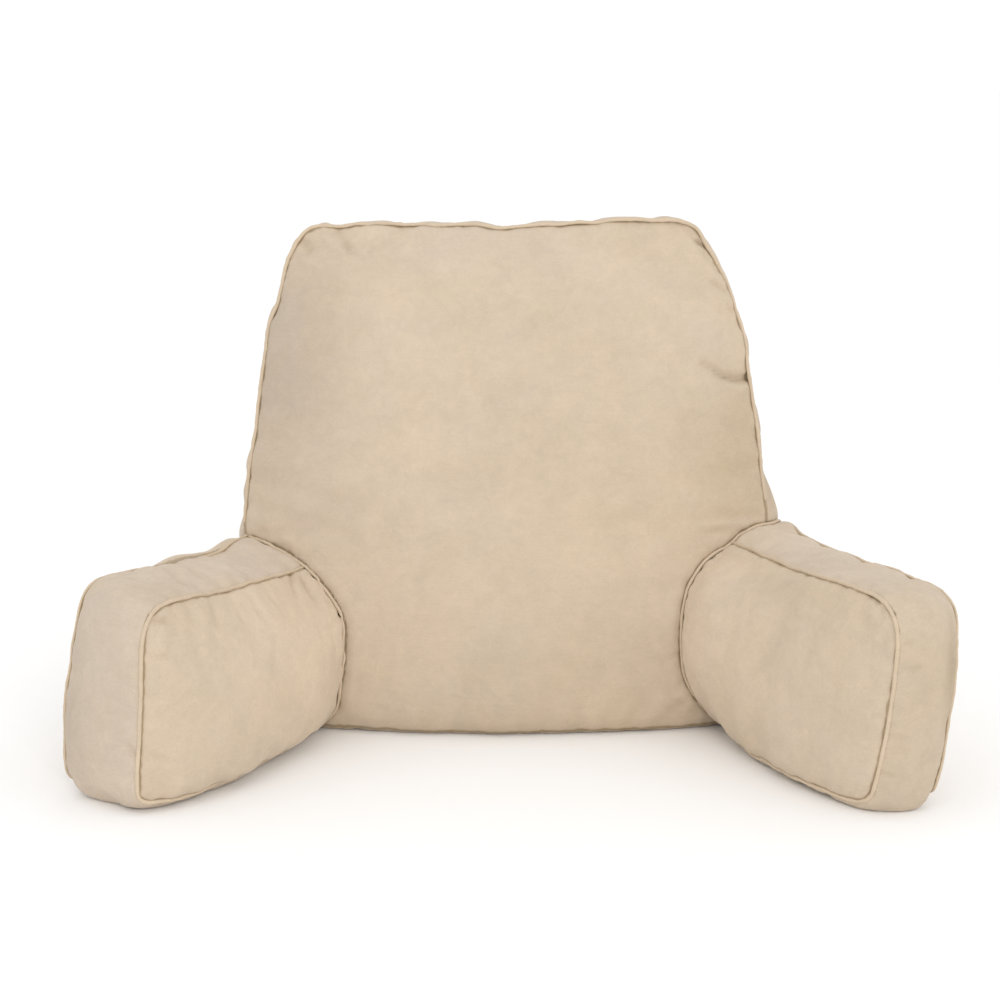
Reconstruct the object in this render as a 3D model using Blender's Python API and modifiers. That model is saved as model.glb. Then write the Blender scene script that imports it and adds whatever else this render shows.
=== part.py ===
"""Reading pillow with arms: a boxed, wedge-shaped back cushion with two boxed
arms sewn to its lower front corners, all seams covered with corded piping.

Metres, +Z up, the front of the pillow faces -Y, +X is the viewer's right.
The origin is the centre of the pillow's footprint on the floor.
"""

import math
from collections import namedtuple

import bmesh
import bpy
from mathutils import Vector
from mathutils.bvhtree import BVHTree

# ----------------------------------------------------------------------------
# Driving dimensions (metres)
# ----------------------------------------------------------------------------
PIPING_RADIUS = 0.0024      # corded piping, about 4.8 mm over the cord
SEAM_GAP = 0.0003           # clear space between any two pieces
PIPING_CLEAR = PIPING_RADIUS + SEAM_GAP + 0.00012
SMOOTH_LEVELS = 2
FLOOR_CLEAR = 0.0004        # lowest point of any piping above the floor
COUNTER_GROWTH = 0.00045    # how far the back is grown before it trims an arm

# Back cushion. One row for each height: the side seams of the front panel, how
# far they lie behind the foot of the panel, and how far the panel is crowned
# in front of them; then the same for the rear panel.
BackRow = namedtuple(
    "BackRow",
    "z left right front_y front_crown rear_z rear_left rear_right rear_y rear_crown",
)
BACK_ROWS = (
    BackRow(0.001, -0.232, 0.243, 0.004, 0.049, 0.001, -0.230, 0.240, 0.172, 0.012),
    BackRow(0.058, -0.238, 0.250, 0.012, 0.072, 0.058, -0.234, 0.246, 0.182, 0.030),
    BackRow(0.180, -0.236, 0.2505, 0.036, 0.063, 0.178, -0.233, 0.243, 0.186, 0.034),
    BackRow(0.300, -0.2265, 0.235, 0.059, 0.052, 0.294, -0.219, 0.226, 0.184, 0.034),
    BackRow(0.402, -0.205, 0.2145, 0.080, 0.030, 0.392, -0.194, 0.203, 0.178, 0.022),
    BackRow(0.456, -0.184, 0.185, 0.089, 0.003, 0.432, -0.178, 0.179, 0.172, 0.003),
)
BACK_COLUMNS = (0.0, 0.10, 0.36, 0.64, 0.90, 1.0)   # across the panel, 0 = left seam
BACK_CROWN = (0.0, 0.62, 1.0, 1.0, 0.62, 0.0)       # share of the row's crown there
BACK_TOP_SAG = (-0.007, -0.003, -0.005, -0.004, 0.005, -0.001)  # the top seam's own line
BACK_LEFT_BULGE = (0.014, 0.018, 0.010, 0.003, 0.003, 0.004)   # gusset, row by row
BACK_RIGHT_BULGE = (0.018, 0.030, 0.024, 0.004, 0.003, 0.004)
BACK_TOP_BULGE = 0.006
BACK_FOOT_DROP = 0.030      # underside before it is flattened by the floor

# Arms. Each is laid out along its own direction, splayed outwards from the
# front. front_bow is how far the front edges of the inner and outer panels bow
# forward at mid height. One row for each section: distance of the section's foot
# and head from the root, how much further the outer seam reaches there than the
# inner one, where the inner and outer seams lie across the arm (positive is
# outwards), the height of the two top seams, the crown of the two side panels,
# and how far the middle of the top gusset stands up.
Arm = namedtuple("Arm", "name side splay root_x root_y front_bow sections")
ArmSection = namedtuple(
    "ArmSection",
    "foot head foot_skew head_skew foot_in foot_out head_in head_out top_in top_out"
    " crown_in crown_out top_bulge",
)
ARM_LEFT = Arm(
    "left", -1, math.radians(32.0), -0.140, 0.000, (0.000, 0.010),
    (
        ArmSection(-0.060, -0.060, 0.000, 0.000, 0.015, 0.096, 0.034, 0.106, 0.143, 0.165, 0.034, 0.018, 0.002),
        ArmSection(0.045, 0.045, 0.000, 0.000, -0.010, 0.086, 0.028, 0.092, 0.151, 0.164, 0.034, 0.022, 0.004),
        ArmSection(0.160, 0.155, 0.000, -0.005, -0.031, 0.064, 0.004, 0.072, 0.157, 0.167, 0.026, 0.026, 0.014),
        ArmSection(0.250, 0.235, -0.004, -0.012, -0.025, 0.069, -0.003, 0.075, 0.169, 0.176, 0.018, 0.018, 0.014),
        ArmSection(0.298, 0.284, -0.012, -0.030, -0.006, 0.079, -0.006, 0.079, 0.173, 0.176, 0.000, 0.000, 0.012),
    ),
)
ARM_RIGHT = Arm(
    "right", 1, math.radians(23.7), 0.188, 0.000, (0.010, 0.008),
    (
        ArmSection(-0.060, -0.060, 0.000, 0.000, 0.033, 0.074, 0.030, 0.088, 0.169, 0.171, 0.060, 0.008, 0.015),
        ArmSection(0.040, 0.040, 0.000, 0.000, 0.001, 0.080, 0.022, 0.095, 0.170, 0.169, 0.062, 0.024, 0.011),
        ArmSection(0.145, 0.150, 0.004, -0.005, -0.027, 0.062, 0.014, 0.084, 0.173, 0.170, 0.030, 0.026, 0.008),
        ArmSection(0.224, 0.246, 0.008, -0.014, -0.020, 0.058, 0.011, 0.082, 0.178, 0.173, 0.018, 0.018, 0.009),
        ArmSection(0.272, 0.294, 0.010, -0.032, 0.001, 0.058, 0.006, 0.084, 0.181, 0.172, 0.000, 0.000, 0.008),
    ),
)
ARM_SEAM_FOOT = 0.0075      # height of the arms' bottom seams
ARM_HEIGHTS = (0.0, 0.19, 0.80, 1.0)
ARM_CROWN = (0.0, 0.62, 1.05, 0.0)
ARM_FRONT_BULGE = (0.006, 0.014, 0.018, 0.014)   # front gusset, at each height
ARM_FOOT_DROP = 0.026

FABRIC = (0.700, 0.570, 0.420, 1.0)
PIPING = (0.745, 0.610, 0.440, 1.0)

# ----------------------------------------------------------------------------
# Scene helpers
# ----------------------------------------------------------------------------
for old in list(bpy.data.objects):
    bpy.data.objects.remove(old, do_unlink=True)

PARTS = bpy.data.collections.new("Reading_Pillow")
bpy.context.scene.collection.children.link(PARTS)
CUTTERS = bpy.data.collections.new("Cutters")
bpy.context.scene.collection.children.link(CUTTERS)
CUTTERS.hide_render = True

ORIGIN = bpy.data.objects.new("pillow_origin", None)
PARTS.objects.link(ORIGIN)


def fabric_material(name, colour, roughness):
    material = bpy.data.materials.new(name)
    material.use_nodes = True
    shader = material.node_tree.nodes["Principled BSDF"]
    shader.inputs["Base Color"].default_value = colour
    shader.inputs["Roughness"].default_value = roughness
    shader.inputs["Metallic"].default_value = 0.0
    return material


def evaluated_mesh(obj):
    """The object's mesh with its modifiers applied."""
    bpy.context.view_layer.update()
    graph = bpy.context.evaluated_depsgraph_get()
    return bpy.data.meshes.new_from_object(
        obj.evaluated_get(graph), preserve_all_data_layers=True, depsgraph=graph
    )


def tree_of(mesh):
    return BVHTree.FromPolygons(
        [v.co.copy() for v in mesh.vertices], [tuple(p.vertices) for p in mesh.polygons]
    )


# ----------------------------------------------------------------------------
# Boxed cushions: two panels joined all round by a gusset strip
# ----------------------------------------------------------------------------
def perimeter(columns, rows):
    """Grid indices round the edge of a panel, in order."""
    edge = [(i, 0) for i in range(columns)]
    edge += [(columns, j) for j in range(rows)]
    edge += [(i, rows) for i in range(columns, 0, -1)]
    edge += [(0, j) for j in range(rows, 0, -1)]
    return edge


def boxed_cushion(name, panel_a, panel_b, bulge):
    """A filled, boxed cushion from two coarse panel grids. bulge(i, j) is how
    far the middle of the gusset stands proud beside that edge point."""
    columns, rows = len(panel_a) - 1, len(panel_a[0]) - 1
    cage = bmesh.new()
    grid = {}
    for key, panel in (("a", panel_a), ("b", panel_b)):
        for i in range(columns + 1):
            for j in range(rows + 1):
                grid[key, i, j] = cage.verts.new(panel[i][j])
    ring = perimeter(columns, rows)
    middle = [
        cage.verts.new((panel_a[i][j] + panel_b[i][j]) / 2 + bulge(i, j)) for i, j in ring
    ]
    for key in "ab":
        for i in range(columns):
            for j in range(rows):
                cage.faces.new(
                    [grid[key, i, j], grid[key, i + 1, j], grid[key, i + 1, j + 1], grid[key, i, j + 1]]
                )
    for n, (i, j) in enumerate(ring):
        following = (n + 1) % len(ring)
        p, q = ring[following]
        cage.faces.new([grid["a", i, j], grid["a", p, q], middle[following], middle[n]])
        cage.faces.new([middle[n], middle[following], grid["b", p, q], grid["b", i, j]])
    bmesh.ops.recalc_face_normals(cage, faces=cage.faces)
    sharp = cage.edges.layers.float.new("crease_edge")
    for key in "ab":
        for n, (i, j) in enumerate(ring):
            p, q = ring[(n + 1) % len(ring)]
            cage.edges.get([grid[key, i, j], grid[key, p, q]])[sharp] = 1.0
    cage.verts.index_update()
    members = {key: [grid[key, i, j].index for i, j in ring] for key in "ab"}
    mesh = bpy.data.meshes.new(name + "_cage")
    cage.to_mesh(mesh)
    cage.free()

    obj = bpy.data.objects.new(name, mesh)
    PARTS.objects.link(obj)
    for key in "ab":
        obj.vertex_groups.new(name="seam_" + key).add(members[key], 1.0, "REPLACE")
    smooth = obj.modifiers.new("Smooth", "SUBSURF")
    smooth.levels = smooth.render_levels = SMOOTH_LEVELS
    smooth.boundary_smooth = "ALL"

    filled = evaluated_mesh(obj)
    obj.modifiers.clear()
    obj.data = filled
    filled.name = name
    for vertex in filled.vertices:       # the floor flattens the underside
        vertex.co.z = max(vertex.co.z, 0.0)
    seams = {key: seam_loop(obj, key) for key in "ab"}
    filled.shade_smooth()
    filled.set_sharp_from_angle(angle=math.radians(50))
    return obj, seams


def seam_loop(obj, key):
    """Vertex numbers along one panel's seam, in order, as a closed loop."""
    group = obj.vertex_groups["seam_" + key].index
    on = set()
    for vertex in obj.data.vertices:
        for member in vertex.groups:
            if member.group == group and member.weight > 0.999:
                on.add(vertex.index)
    links = {index: [] for index in on}
    for edge in obj.data.edges:
        a, b = edge.vertices
        if a in on and b in on:
            links[a].append(b)
            links[b].append(a)
    start = min(on)
    loop, previous, current = [start], None, links[start][0]
    while current != start:
        loop.append(current)
        step = [n for n in links[current] if n != loop[-2]]
        current = step[0]
    return loop


def mix(a, b, share):
    return a + (b - a) * share


# ----------------------------------------------------------------------------
# Back cushion
# ----------------------------------------------------------------------------
def back_panels():
    front, rear = [], []
    for i, across in enumerate(BACK_COLUMNS):
        front_column, rear_column = [], []
        for j, row in enumerate(BACK_ROWS):
            crown = BACK_CROWN[i]
            last = j == len(BACK_ROWS) - 1
            sag = BACK_TOP_SAG[i] if last else 0.0
            front_column.append(
                Vector((mix(row.left, row.right, across), row.front_y - row.front_crown * crown, row.z + sag))
            )
            rear_column.append(
                Vector((mix(row.rear_left, row.rear_right, across), row.rear_y + row.rear_crown * crown, row.rear_z + sag))
            )
        front.append(front_column)
        rear.append(rear_column)
    return front, rear


def back_bulge(i, j):
    last_i, last_j = len(BACK_COLUMNS) - 1, len(BACK_ROWS) - 1
    out = Vector((0, 0, 0))
    if i == 0:
        out.x = -BACK_LEFT_BULGE[j]
    if i == last_i:
        out.x = BACK_RIGHT_BULGE[j]
    if j == 0:
        out.z = -BACK_FOOT_DROP
    if j == last_j:
        out.z = BACK_TOP_BULGE
    return out


back, back_seams = boxed_cushion("back_cushion", *back_panels(), back_bulge)
back_tree = tree_of(back.data)


# ----------------------------------------------------------------------------
# Arms
# ----------------------------------------------------------------------------
def arm_frame(arm):
    along = Vector((arm.side * math.sin(arm.splay), -math.cos(arm.splay), 0))
    outward = Vector((arm.side * math.cos(arm.splay), math.sin(arm.splay), 0))
    return Vector((arm.root_x, arm.root_y, 0)), along, outward


def arm_panels(arm):
    root, along, outward = arm_frame(arm)
    inner, outer = [], []
    for section in arm.sections:
        at_front = section is arm.sections[-1]
        bow_in, bow_out = arm.front_bow if at_front else (0.0, 0.0)
        inner_column, outer_column = [], []
        for height, crown in zip(ARM_HEIGHTS, ARM_CROWN):
            reach = mix(section.foot, section.head, height)
            skew = mix(section.foot_skew, section.head_skew, height)
            side_in = mix(section.foot_in, section.head_in, height) - section.crown_in * crown
            side_out = mix(section.foot_out, section.head_out, height) + section.crown_out * crown
            z_in = mix(ARM_SEAM_FOOT, section.top_in, height)
            z_out = mix(ARM_SEAM_FOOT, section.top_out, height)
            inner_column.append(root + along * (reach + bow_in * crown) + outward * side_in + Vector((0, 0, z_in)))
            outer_column.append(root + along * (reach + skew + bow_out * crown) + outward * side_out + Vector((0, 0, z_out)))
        inner.append(inner_column)
        outer.append(outer_column)
    return inner, outer


def arm_bulge(arm):
    _, along, _ = arm_frame(arm)
    last_i, last_j = len(arm.sections) - 1, len(ARM_HEIGHTS) - 1

    def bulge(i, j):
        out = Vector((0, 0, 0))
        if i == last_i:
            out += along * ARM_FRONT_BULGE[j]
        if j == 0:
            out.z -= ARM_FOOT_DROP
        if j == last_j:
            out.z += arm.sections[i].top_bulge
        return out

    return bulge


def grown_copy(obj, name, by):
    """A copy pushed out along its normals, to trim a neighbour with a gap."""
    mesh = obj.data.copy()
    mesh.name = name
    normals = [v.normal.copy() for v in mesh.vertices]
    for vertex, normal in zip(mesh.vertices, normals):
        vertex.co = vertex.co + normal * by
    cutter = bpy.data.objects.new(name, mesh)
    cutter.display_type = "WIRE"
    cutter.hide_render = True
    CUTTERS.objects.link(cutter)
    return cutter


def extended_down(obj, by):
    """Carries the flat underside straight down, so that the trimmed root of a
    neighbour has no thin skin left under it."""
    mesh = bmesh.new()
    mesh.from_mesh(obj.data)
    under = [f for f in mesh.faces if all(v.co.z < 0.004 for v in f.verts)]
    made = bmesh.ops.extrude_face_region(mesh, geom=under)["geom"]
    for item in made:
        if isinstance(item, bmesh.types.BMVert):
            item.co.z -= by
    bmesh.ops.delete(mesh, geom=[f for f in under if f.is_valid], context="FACES")
    mesh.to_mesh(obj.data)
    mesh.free()


counter = grown_copy(back, "back_counter", COUNTER_GROWTH)
extended_down(counter, 0.010)
counter_slots = [fabric_material("counter_%d" % n, FABRIC, 0.9) for n in range(2)]
for slot in counter_slots:
    counter.data.materials.append(slot)
for face in counter.data.polygons:
    face.material_index = 1

arms = {}
for arm in (ARM_LEFT, ARM_RIGHT):
    obj, seams = boxed_cushion("arm_" + arm.name, *arm_panels(arm), arm_bulge(arm))
    paths = {key: [obj.data.vertices[n].co.copy() for n in seams[key]] for key in "ab"}
    for slot in counter_slots:
        obj.data.materials.append(slot)
    trim = obj.modifiers.new("Trim to back", "BOOLEAN")
    trim.operation = "DIFFERENCE"
    trim.solver = "EXACT"
    trim.material_mode = "INDEX"
    trim.object = counter
    trimmed = evaluated_mesh(obj)
    obj.modifiers.clear()
    obj.data = trimmed
    trimmed.name = obj.name
    arms[arm.name] = (arm, obj, paths, tree_of(trimmed))


# ----------------------------------------------------------------------------
# Piping
# ----------------------------------------------------------------------------
def inside(tree, point):
    found = tree.find_nearest(point)
    return (point - found[0]).dot(found[1]) < 0


def clear_of(point, trees, distance):
    """Moves a point out until it is at least this far from each surface."""
    for _ in range(30):
        worst = 0.0
        for tree in trees:
            near, normal, _, gap = tree.find_nearest(point)
            away = point - near
            if away.dot(normal) < 0:
                point = near + normal * distance
                worst = distance
            elif gap < distance:
                push = away.normalized() if gap > 1e-7 else normal
                point = point + push * (distance - gap)
                worst = max(worst, distance - gap)
        lift = PIPING_RADIUS + FLOOR_CLEAR - point.z
        if lift > 0:
            point.z += lift
            worst = max(worst, lift)
        if worst < 1e-6:
            break
    return point


def settle(points, trees, passes=3):
    """Lays a piping line on the surfaces: each point is pushed clear, and so is
    the middle of each stretch between two points."""
    points = [clear_of(p.copy(), trees, PIPING_CLEAR) for p in points]
    for _ in range(passes):
        for n in range(len(points) - 1):
            halfway = (points[n] + points[n + 1]) / 2
            moved = clear_of(halfway.copy(), trees, PIPING_CLEAR) - halfway
            if moved.length > 1e-5:
                points[n] += moved
                points[n + 1] += moved
        points = [clear_of(p, trees, PIPING_CLEAR) for p in points]
    return points


def longest_run(points, keep):
    """The longest stretch of a closed loop whose points are all kept."""
    count = len(points)
    flags = [keep(p) for p in points]
    if all(flags):
        return points
    start = next(n for n in range(count) if not flags[n])
    best, run = [], []
    for n in range(1, count + 1):
        point, kept = points[(start + n) % count], flags[(start + n) % count]
        if kept:
            run.append(point)
        else:
            best = max(best, run, key=len)
            run = []
    return max(best, run, key=len)


def trimmed(loop, keep, step=0.003):
    """The longest kept stretch of a closed loop, cut to within a step of where it
    stops being kept, without adding points in between."""
    fine, corners = [], set()
    for n, point in enumerate(loop):
        following = loop[(n + 1) % len(loop)]
        parts = max(1, round((following - point).length / step))
        corners.add(len(fine))
        fine += [point.lerp(following, k / parts) for k in range(parts)]
    corner_keys = {tuple(fine[n]) for n in corners}
    run = longest_run(fine, keep)
    return [run[0]] + [p for p in run[1:-1] if tuple(p) in corner_keys] + [run[-1]]


def spaced(points, spacing):
    """Drops points nearer than this to the last kept one; both ends stay."""
    kept = [points[0]]
    for point in points[1:-1]:
        if (point - kept[-1]).length >= spacing and (point - points[-1]).length >= spacing * 0.6:
            kept.append(point)
    return kept + [points[-1]]


def piping(name, points, material):
    data = bpy.data.curves.new(name, "CURVE")
    data.dimensions = "3D"
    data.twist_mode = "MINIMUM"
    data.bevel_depth = PIPING_RADIUS
    data.bevel_resolution = 1
    data.use_fill_caps = True
    spline = data.splines.new("POLY")
    spline.points.add(len(points) - 1)
    for target, point in zip(spline.points, points):
        target.co = (*point, 1.0)
    spline.use_smooth = True
    data.materials.append(material)
    obj = bpy.data.objects.new(name, data)
    PARTS.objects.link(obj)
    obj.parent = ORIGIN
    return obj


def ring_loop(mesh):
    """The line where a trimmed arm meets the back: the edge between the faces
    cut by the back, which carry the second material slot, and all the others."""
    sides = {}
    for face in mesh.polygons:
        for key in face.edge_keys:
            sides.setdefault(key, set()).add(face.material_index)
    links = {}
    for (a, b), slots in sides.items():
        if len(slots) == 2:
            links.setdefault(a, []).append(b)
            links.setdefault(b, []).append(a)
    best, unseen = [], set(links)
    while unseen:
        loop = [min(unseen)]
        unseen.discard(loop[0])
        while True:
            onward = [n for n in links[loop[-1]] if n in unseen]
            if not onward:
                break
            loop.append(onward[0])
            unseen.discard(onward[0])
        best = max(best, loop, key=len)
    return [mesh.vertices[n].co.copy() for n in best]


back_fabric = fabric_material("back_microsuede", FABRIC, 0.9)
piping_fabric = {
    "back": fabric_material("back_piping_microsuede", PIPING, 0.85),
    "left": fabric_material("left_arm_piping_microsuede", PIPING, 0.85),
    "right": fabric_material("right_arm_piping_microsuede", PIPING, 0.85),
}
back.data.materials.clear()
back.data.materials.append(back_fabric)
back.parent = ORIGIN

rings = {}
for name, (arm, obj, paths, tree) in arms.items():
    loop = ring_loop(obj.data)
    for face in obj.data.polygons:
        face.material_index = 0
    obj.data.materials.clear()
    obj.data.materials.append(fabric_material("arm_%s_microsuede" % name, FABRIC, 0.9))
    obj.parent = ORIGIN

    run = trimmed(loop, lambda p: p.z > 0.0065)
    run = settle(spaced(run, 0.011), (tree, back_tree))
    rings[name] = run
    piping("piping_%s_joint" % name, run, piping_fabric[name])

    for key, label in (("a", "inner"), ("b", "outer")):
        def free(point, run=run):
            if inside(back_tree, point) or back_tree.find_nearest(point)[3] < 0.0035:
                return False
            return min((point - other).length for other in run) > 0.0085

        line = trimmed(paths[key], free)
        line = settle(spaced(line, 0.011), (tree,))
        piping("piping_%s_%s" % (name, label), line, piping_fabric[name])

for key, label in (("a", "front"), ("b", "rear")):
    loop = [back.data.vertices[n].co.copy() for n in back_seams[key]]

    def free(point):
        if point.z < 0.012:
            return False
        for _, _, _, tree in arms.values():
            if inside(tree, point) or tree.find_nearest(point)[3] < 0.006:
                return False
        return all((point - other).length > 0.0085 for run in rings.values() for other in run)

    run = trimmed(loop, free)
    run = settle(spaced(run, 0.011), (back_tree,))
    piping("piping_back_%s" % label, run, piping_fabric["back"])

# ----------------------------------------------------------------------------
# Origin: centre of the footprint's box, on the floor
# ----------------------------------------------------------------------------
bpy.context.view_layer.update()
low, high = Vector((9, 9, 9)), Vector((-9, -9, -9))
for obj in PARTS.objects:
    if obj.type not in ("MESH", "CURVE"):
        continue
    mesh = evaluated_mesh(obj)
    for vertex in mesh.vertices:
        low = Vector(map(min, low, vertex.co))
        high = Vector(map(max, high, vertex.co))
    bpy.data.meshes.remove(mesh)
ORIGIN.location = (-(low.x + high.x) / 2, -(low.y + high.y) / 2, 0)
bpy.context.view_layer.update()
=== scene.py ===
import math
from collections import namedtuple

import bmesh
import bpy
import numpy as np
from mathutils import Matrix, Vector
from mathutils.bvhtree import BVHTree
from mathutils.kdtree import KDTree


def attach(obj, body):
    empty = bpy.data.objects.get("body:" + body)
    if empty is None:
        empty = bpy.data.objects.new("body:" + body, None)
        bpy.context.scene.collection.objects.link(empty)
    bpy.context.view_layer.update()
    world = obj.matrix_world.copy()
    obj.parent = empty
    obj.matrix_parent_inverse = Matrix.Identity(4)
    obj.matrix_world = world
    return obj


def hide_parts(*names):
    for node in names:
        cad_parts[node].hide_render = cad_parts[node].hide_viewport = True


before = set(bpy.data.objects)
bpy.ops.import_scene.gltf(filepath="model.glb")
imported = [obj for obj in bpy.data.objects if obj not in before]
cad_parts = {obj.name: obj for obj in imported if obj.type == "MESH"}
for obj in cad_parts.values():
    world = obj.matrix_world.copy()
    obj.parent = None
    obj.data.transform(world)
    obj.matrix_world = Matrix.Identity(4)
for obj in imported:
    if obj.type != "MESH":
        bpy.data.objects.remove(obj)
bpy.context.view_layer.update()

LEVELS = 5

# Where the origin of the tables below lies in the frame.
TABLE_ORIGIN = np.array((-0.0065, 0.0279, 0.0))

# ----------------------------------------------------------------------------
# The pillow's own sizes, the same as in its construction (metres)
# ----------------------------------------------------------------------------
PIPING_RADIUS = 0.0024
BackRow = namedtuple(
    "BackRow",
    "z left right front_y front_crown rear_z rear_left rear_right rear_y rear_crown",
)
BACK_ROWS = (
    BackRow(0.001, -0.232, 0.243, 0.004, 0.049, 0.001, -0.230, 0.240, 0.172, 0.012),
    BackRow(0.058, -0.238, 0.250, 0.012, 0.072, 0.058, -0.234, 0.246, 0.182, 0.030),
    BackRow(0.180, -0.236, 0.2505, 0.036, 0.063, 0.178, -0.233, 0.243, 0.186, 0.034),
    BackRow(0.300, -0.2265, 0.235, 0.059, 0.052, 0.294, -0.219, 0.226, 0.184, 0.034),
    BackRow(0.402, -0.205, 0.2145, 0.080, 0.030, 0.392, -0.194, 0.203, 0.178, 0.022),
    BackRow(0.456, -0.184, 0.185, 0.089, 0.003, 0.432, -0.178, 0.179, 0.172, 0.003),
)
BACK_COLUMNS = (0.0, 0.10, 0.36, 0.64, 0.90, 1.0)
BACK_CROWN = (0.0, 0.62, 1.0, 1.0, 0.62, 0.0)
BACK_TOP_SAG = (-0.007, -0.003, -0.005, -0.004, 0.005, -0.001)
BACK_LEFT_BULGE = (0.014, 0.018, 0.009, 0.001, 0.001, 0.002)
BACK_RIGHT_BULGE = (0.018, 0.030, 0.023, 0.001, 0.000, 0.002)
BACK_TOP_BULGE = 0.004
BACK_FOOT_DROP = 0.030

Arm = namedtuple("Arm", "name side splay root_x root_y front_bow crowns sections")
ArmSection = namedtuple(
    "ArmSection",
    "foot head foot_skew head_skew foot_in foot_out head_in head_out top_in top_out"
    " crown_in crown_out top_bulge tuck",
)
ARM_LEFT = Arm(
    "left", -1, math.radians(32.0), -0.140, 0.000, (0.000, 0.010), (0.0, 0.35, 0.74, 1.1, 0.0),
    (
        ArmSection(-0.060, -0.060, 0.000, 0.000, 0.008, 0.096, 0.034, 0.106, 0.143, 0.165, 0.034, 0.018, 0.002, 0.012),
        ArmSection(0.045, 0.045, 0.000, 0.000, -0.018, 0.086, 0.028, 0.092, 0.151, 0.164, 0.034, 0.022, 0.004, 0.013),
        ArmSection(0.160, 0.155, 0.000, -0.005, -0.037, 0.064, 0.004, 0.072, 0.157, 0.167, 0.026, 0.026, 0.014, 0.010),
        ArmSection(0.250, 0.235, -0.004, -0.012, -0.033, 0.069, -0.003, 0.075, 0.169, 0.176, 0.018, 0.018, 0.014, 0.007),
        ArmSection(0.298, 0.284, -0.012, -0.030, -0.006, 0.081, -0.006, 0.081, 0.173, 0.176, 0.000, 0.005, 0.012, 0.000),
    ),
)
ARM_RIGHT = Arm(
    "right", 1, math.radians(23.7), 0.188, 0.000, (0.010, 0.008), (0.0, 0.32, 0.85, 1.05, 0.0),
    (
        ArmSection(-0.060, -0.060, 0.000, 0.000, 0.032, 0.074, 0.030, 0.088, 0.169, 0.171, 0.060, 0.008, 0.015, 0.002),
        ArmSection(0.040, 0.040, 0.000, 0.000, 0.000, 0.080, 0.022, 0.095, 0.170, 0.169, 0.062, 0.024, 0.011, 0.002),
        ArmSection(0.145, 0.150, 0.004, -0.005, -0.028, 0.062, 0.014, 0.084, 0.173, 0.170, 0.030, 0.026, 0.005, 0.002),
        ArmSection(0.224, 0.246, 0.008, -0.014, -0.021, 0.058, 0.011, 0.082, 0.178, 0.173, 0.018, 0.018, 0.007, 0.001),
        ArmSection(0.272, 0.294, 0.010, -0.032, 0.001, 0.058, 0.006, 0.084, 0.181, 0.172, 0.000, 0.000, 0.007, 0.000),
    ),
)
ARM_SEAM_FOOT = 0.0075
ARM_HEIGHTS = (0.0, 0.08, 0.26, 0.80, 1.0)
ARM_FRONT_BULGE = (0.006, 0.011, 0.017, 0.018, 0.014)
ARM_FOOT_DROP = 0.026

PANEL_A, GUSSET, PANEL_B = 0, 1, 2      # material slots of a cushion's pieces of cloth
CUT = 3


# ----------------------------------------------------------------------------
# Fine cushions from the same coarse cages
# ----------------------------------------------------------------------------
def mix(a, b, share):
    return a + (b - a) * share


def perimeter(columns, rows):
    edge = [(i, 0) for i in range(columns)]
    edge += [(columns, j) for j in range(rows)]
    edge += [(i, rows) for i in range(columns, 0, -1)]
    edge += [(0, j) for j in range(rows, 0, -1)]
    return edge


def applied(obj):
    bpy.context.view_layer.update()
    graph = bpy.context.evaluated_depsgraph_get()
    return bpy.data.meshes.new_from_object(
        obj.evaluated_get(graph), preserve_all_data_layers=True, depsgraph=graph
    )


def coords(mesh):
    co = np.empty(len(mesh.vertices) * 3, np.float64)
    mesh.vertices.foreach_get("co", co)
    return co.reshape(-1, 3)


def set_coords(mesh, co):
    mesh.vertices.foreach_set("co", np.ascontiguousarray(co, np.float32).reshape(-1))
    mesh.update()


def normals(mesh):
    out = np.empty(len(mesh.vertices) * 3, np.float32)
    mesh.vertex_normals.foreach_get("vector", out)
    return out.reshape(-1, 3).astype(np.float64)


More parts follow.
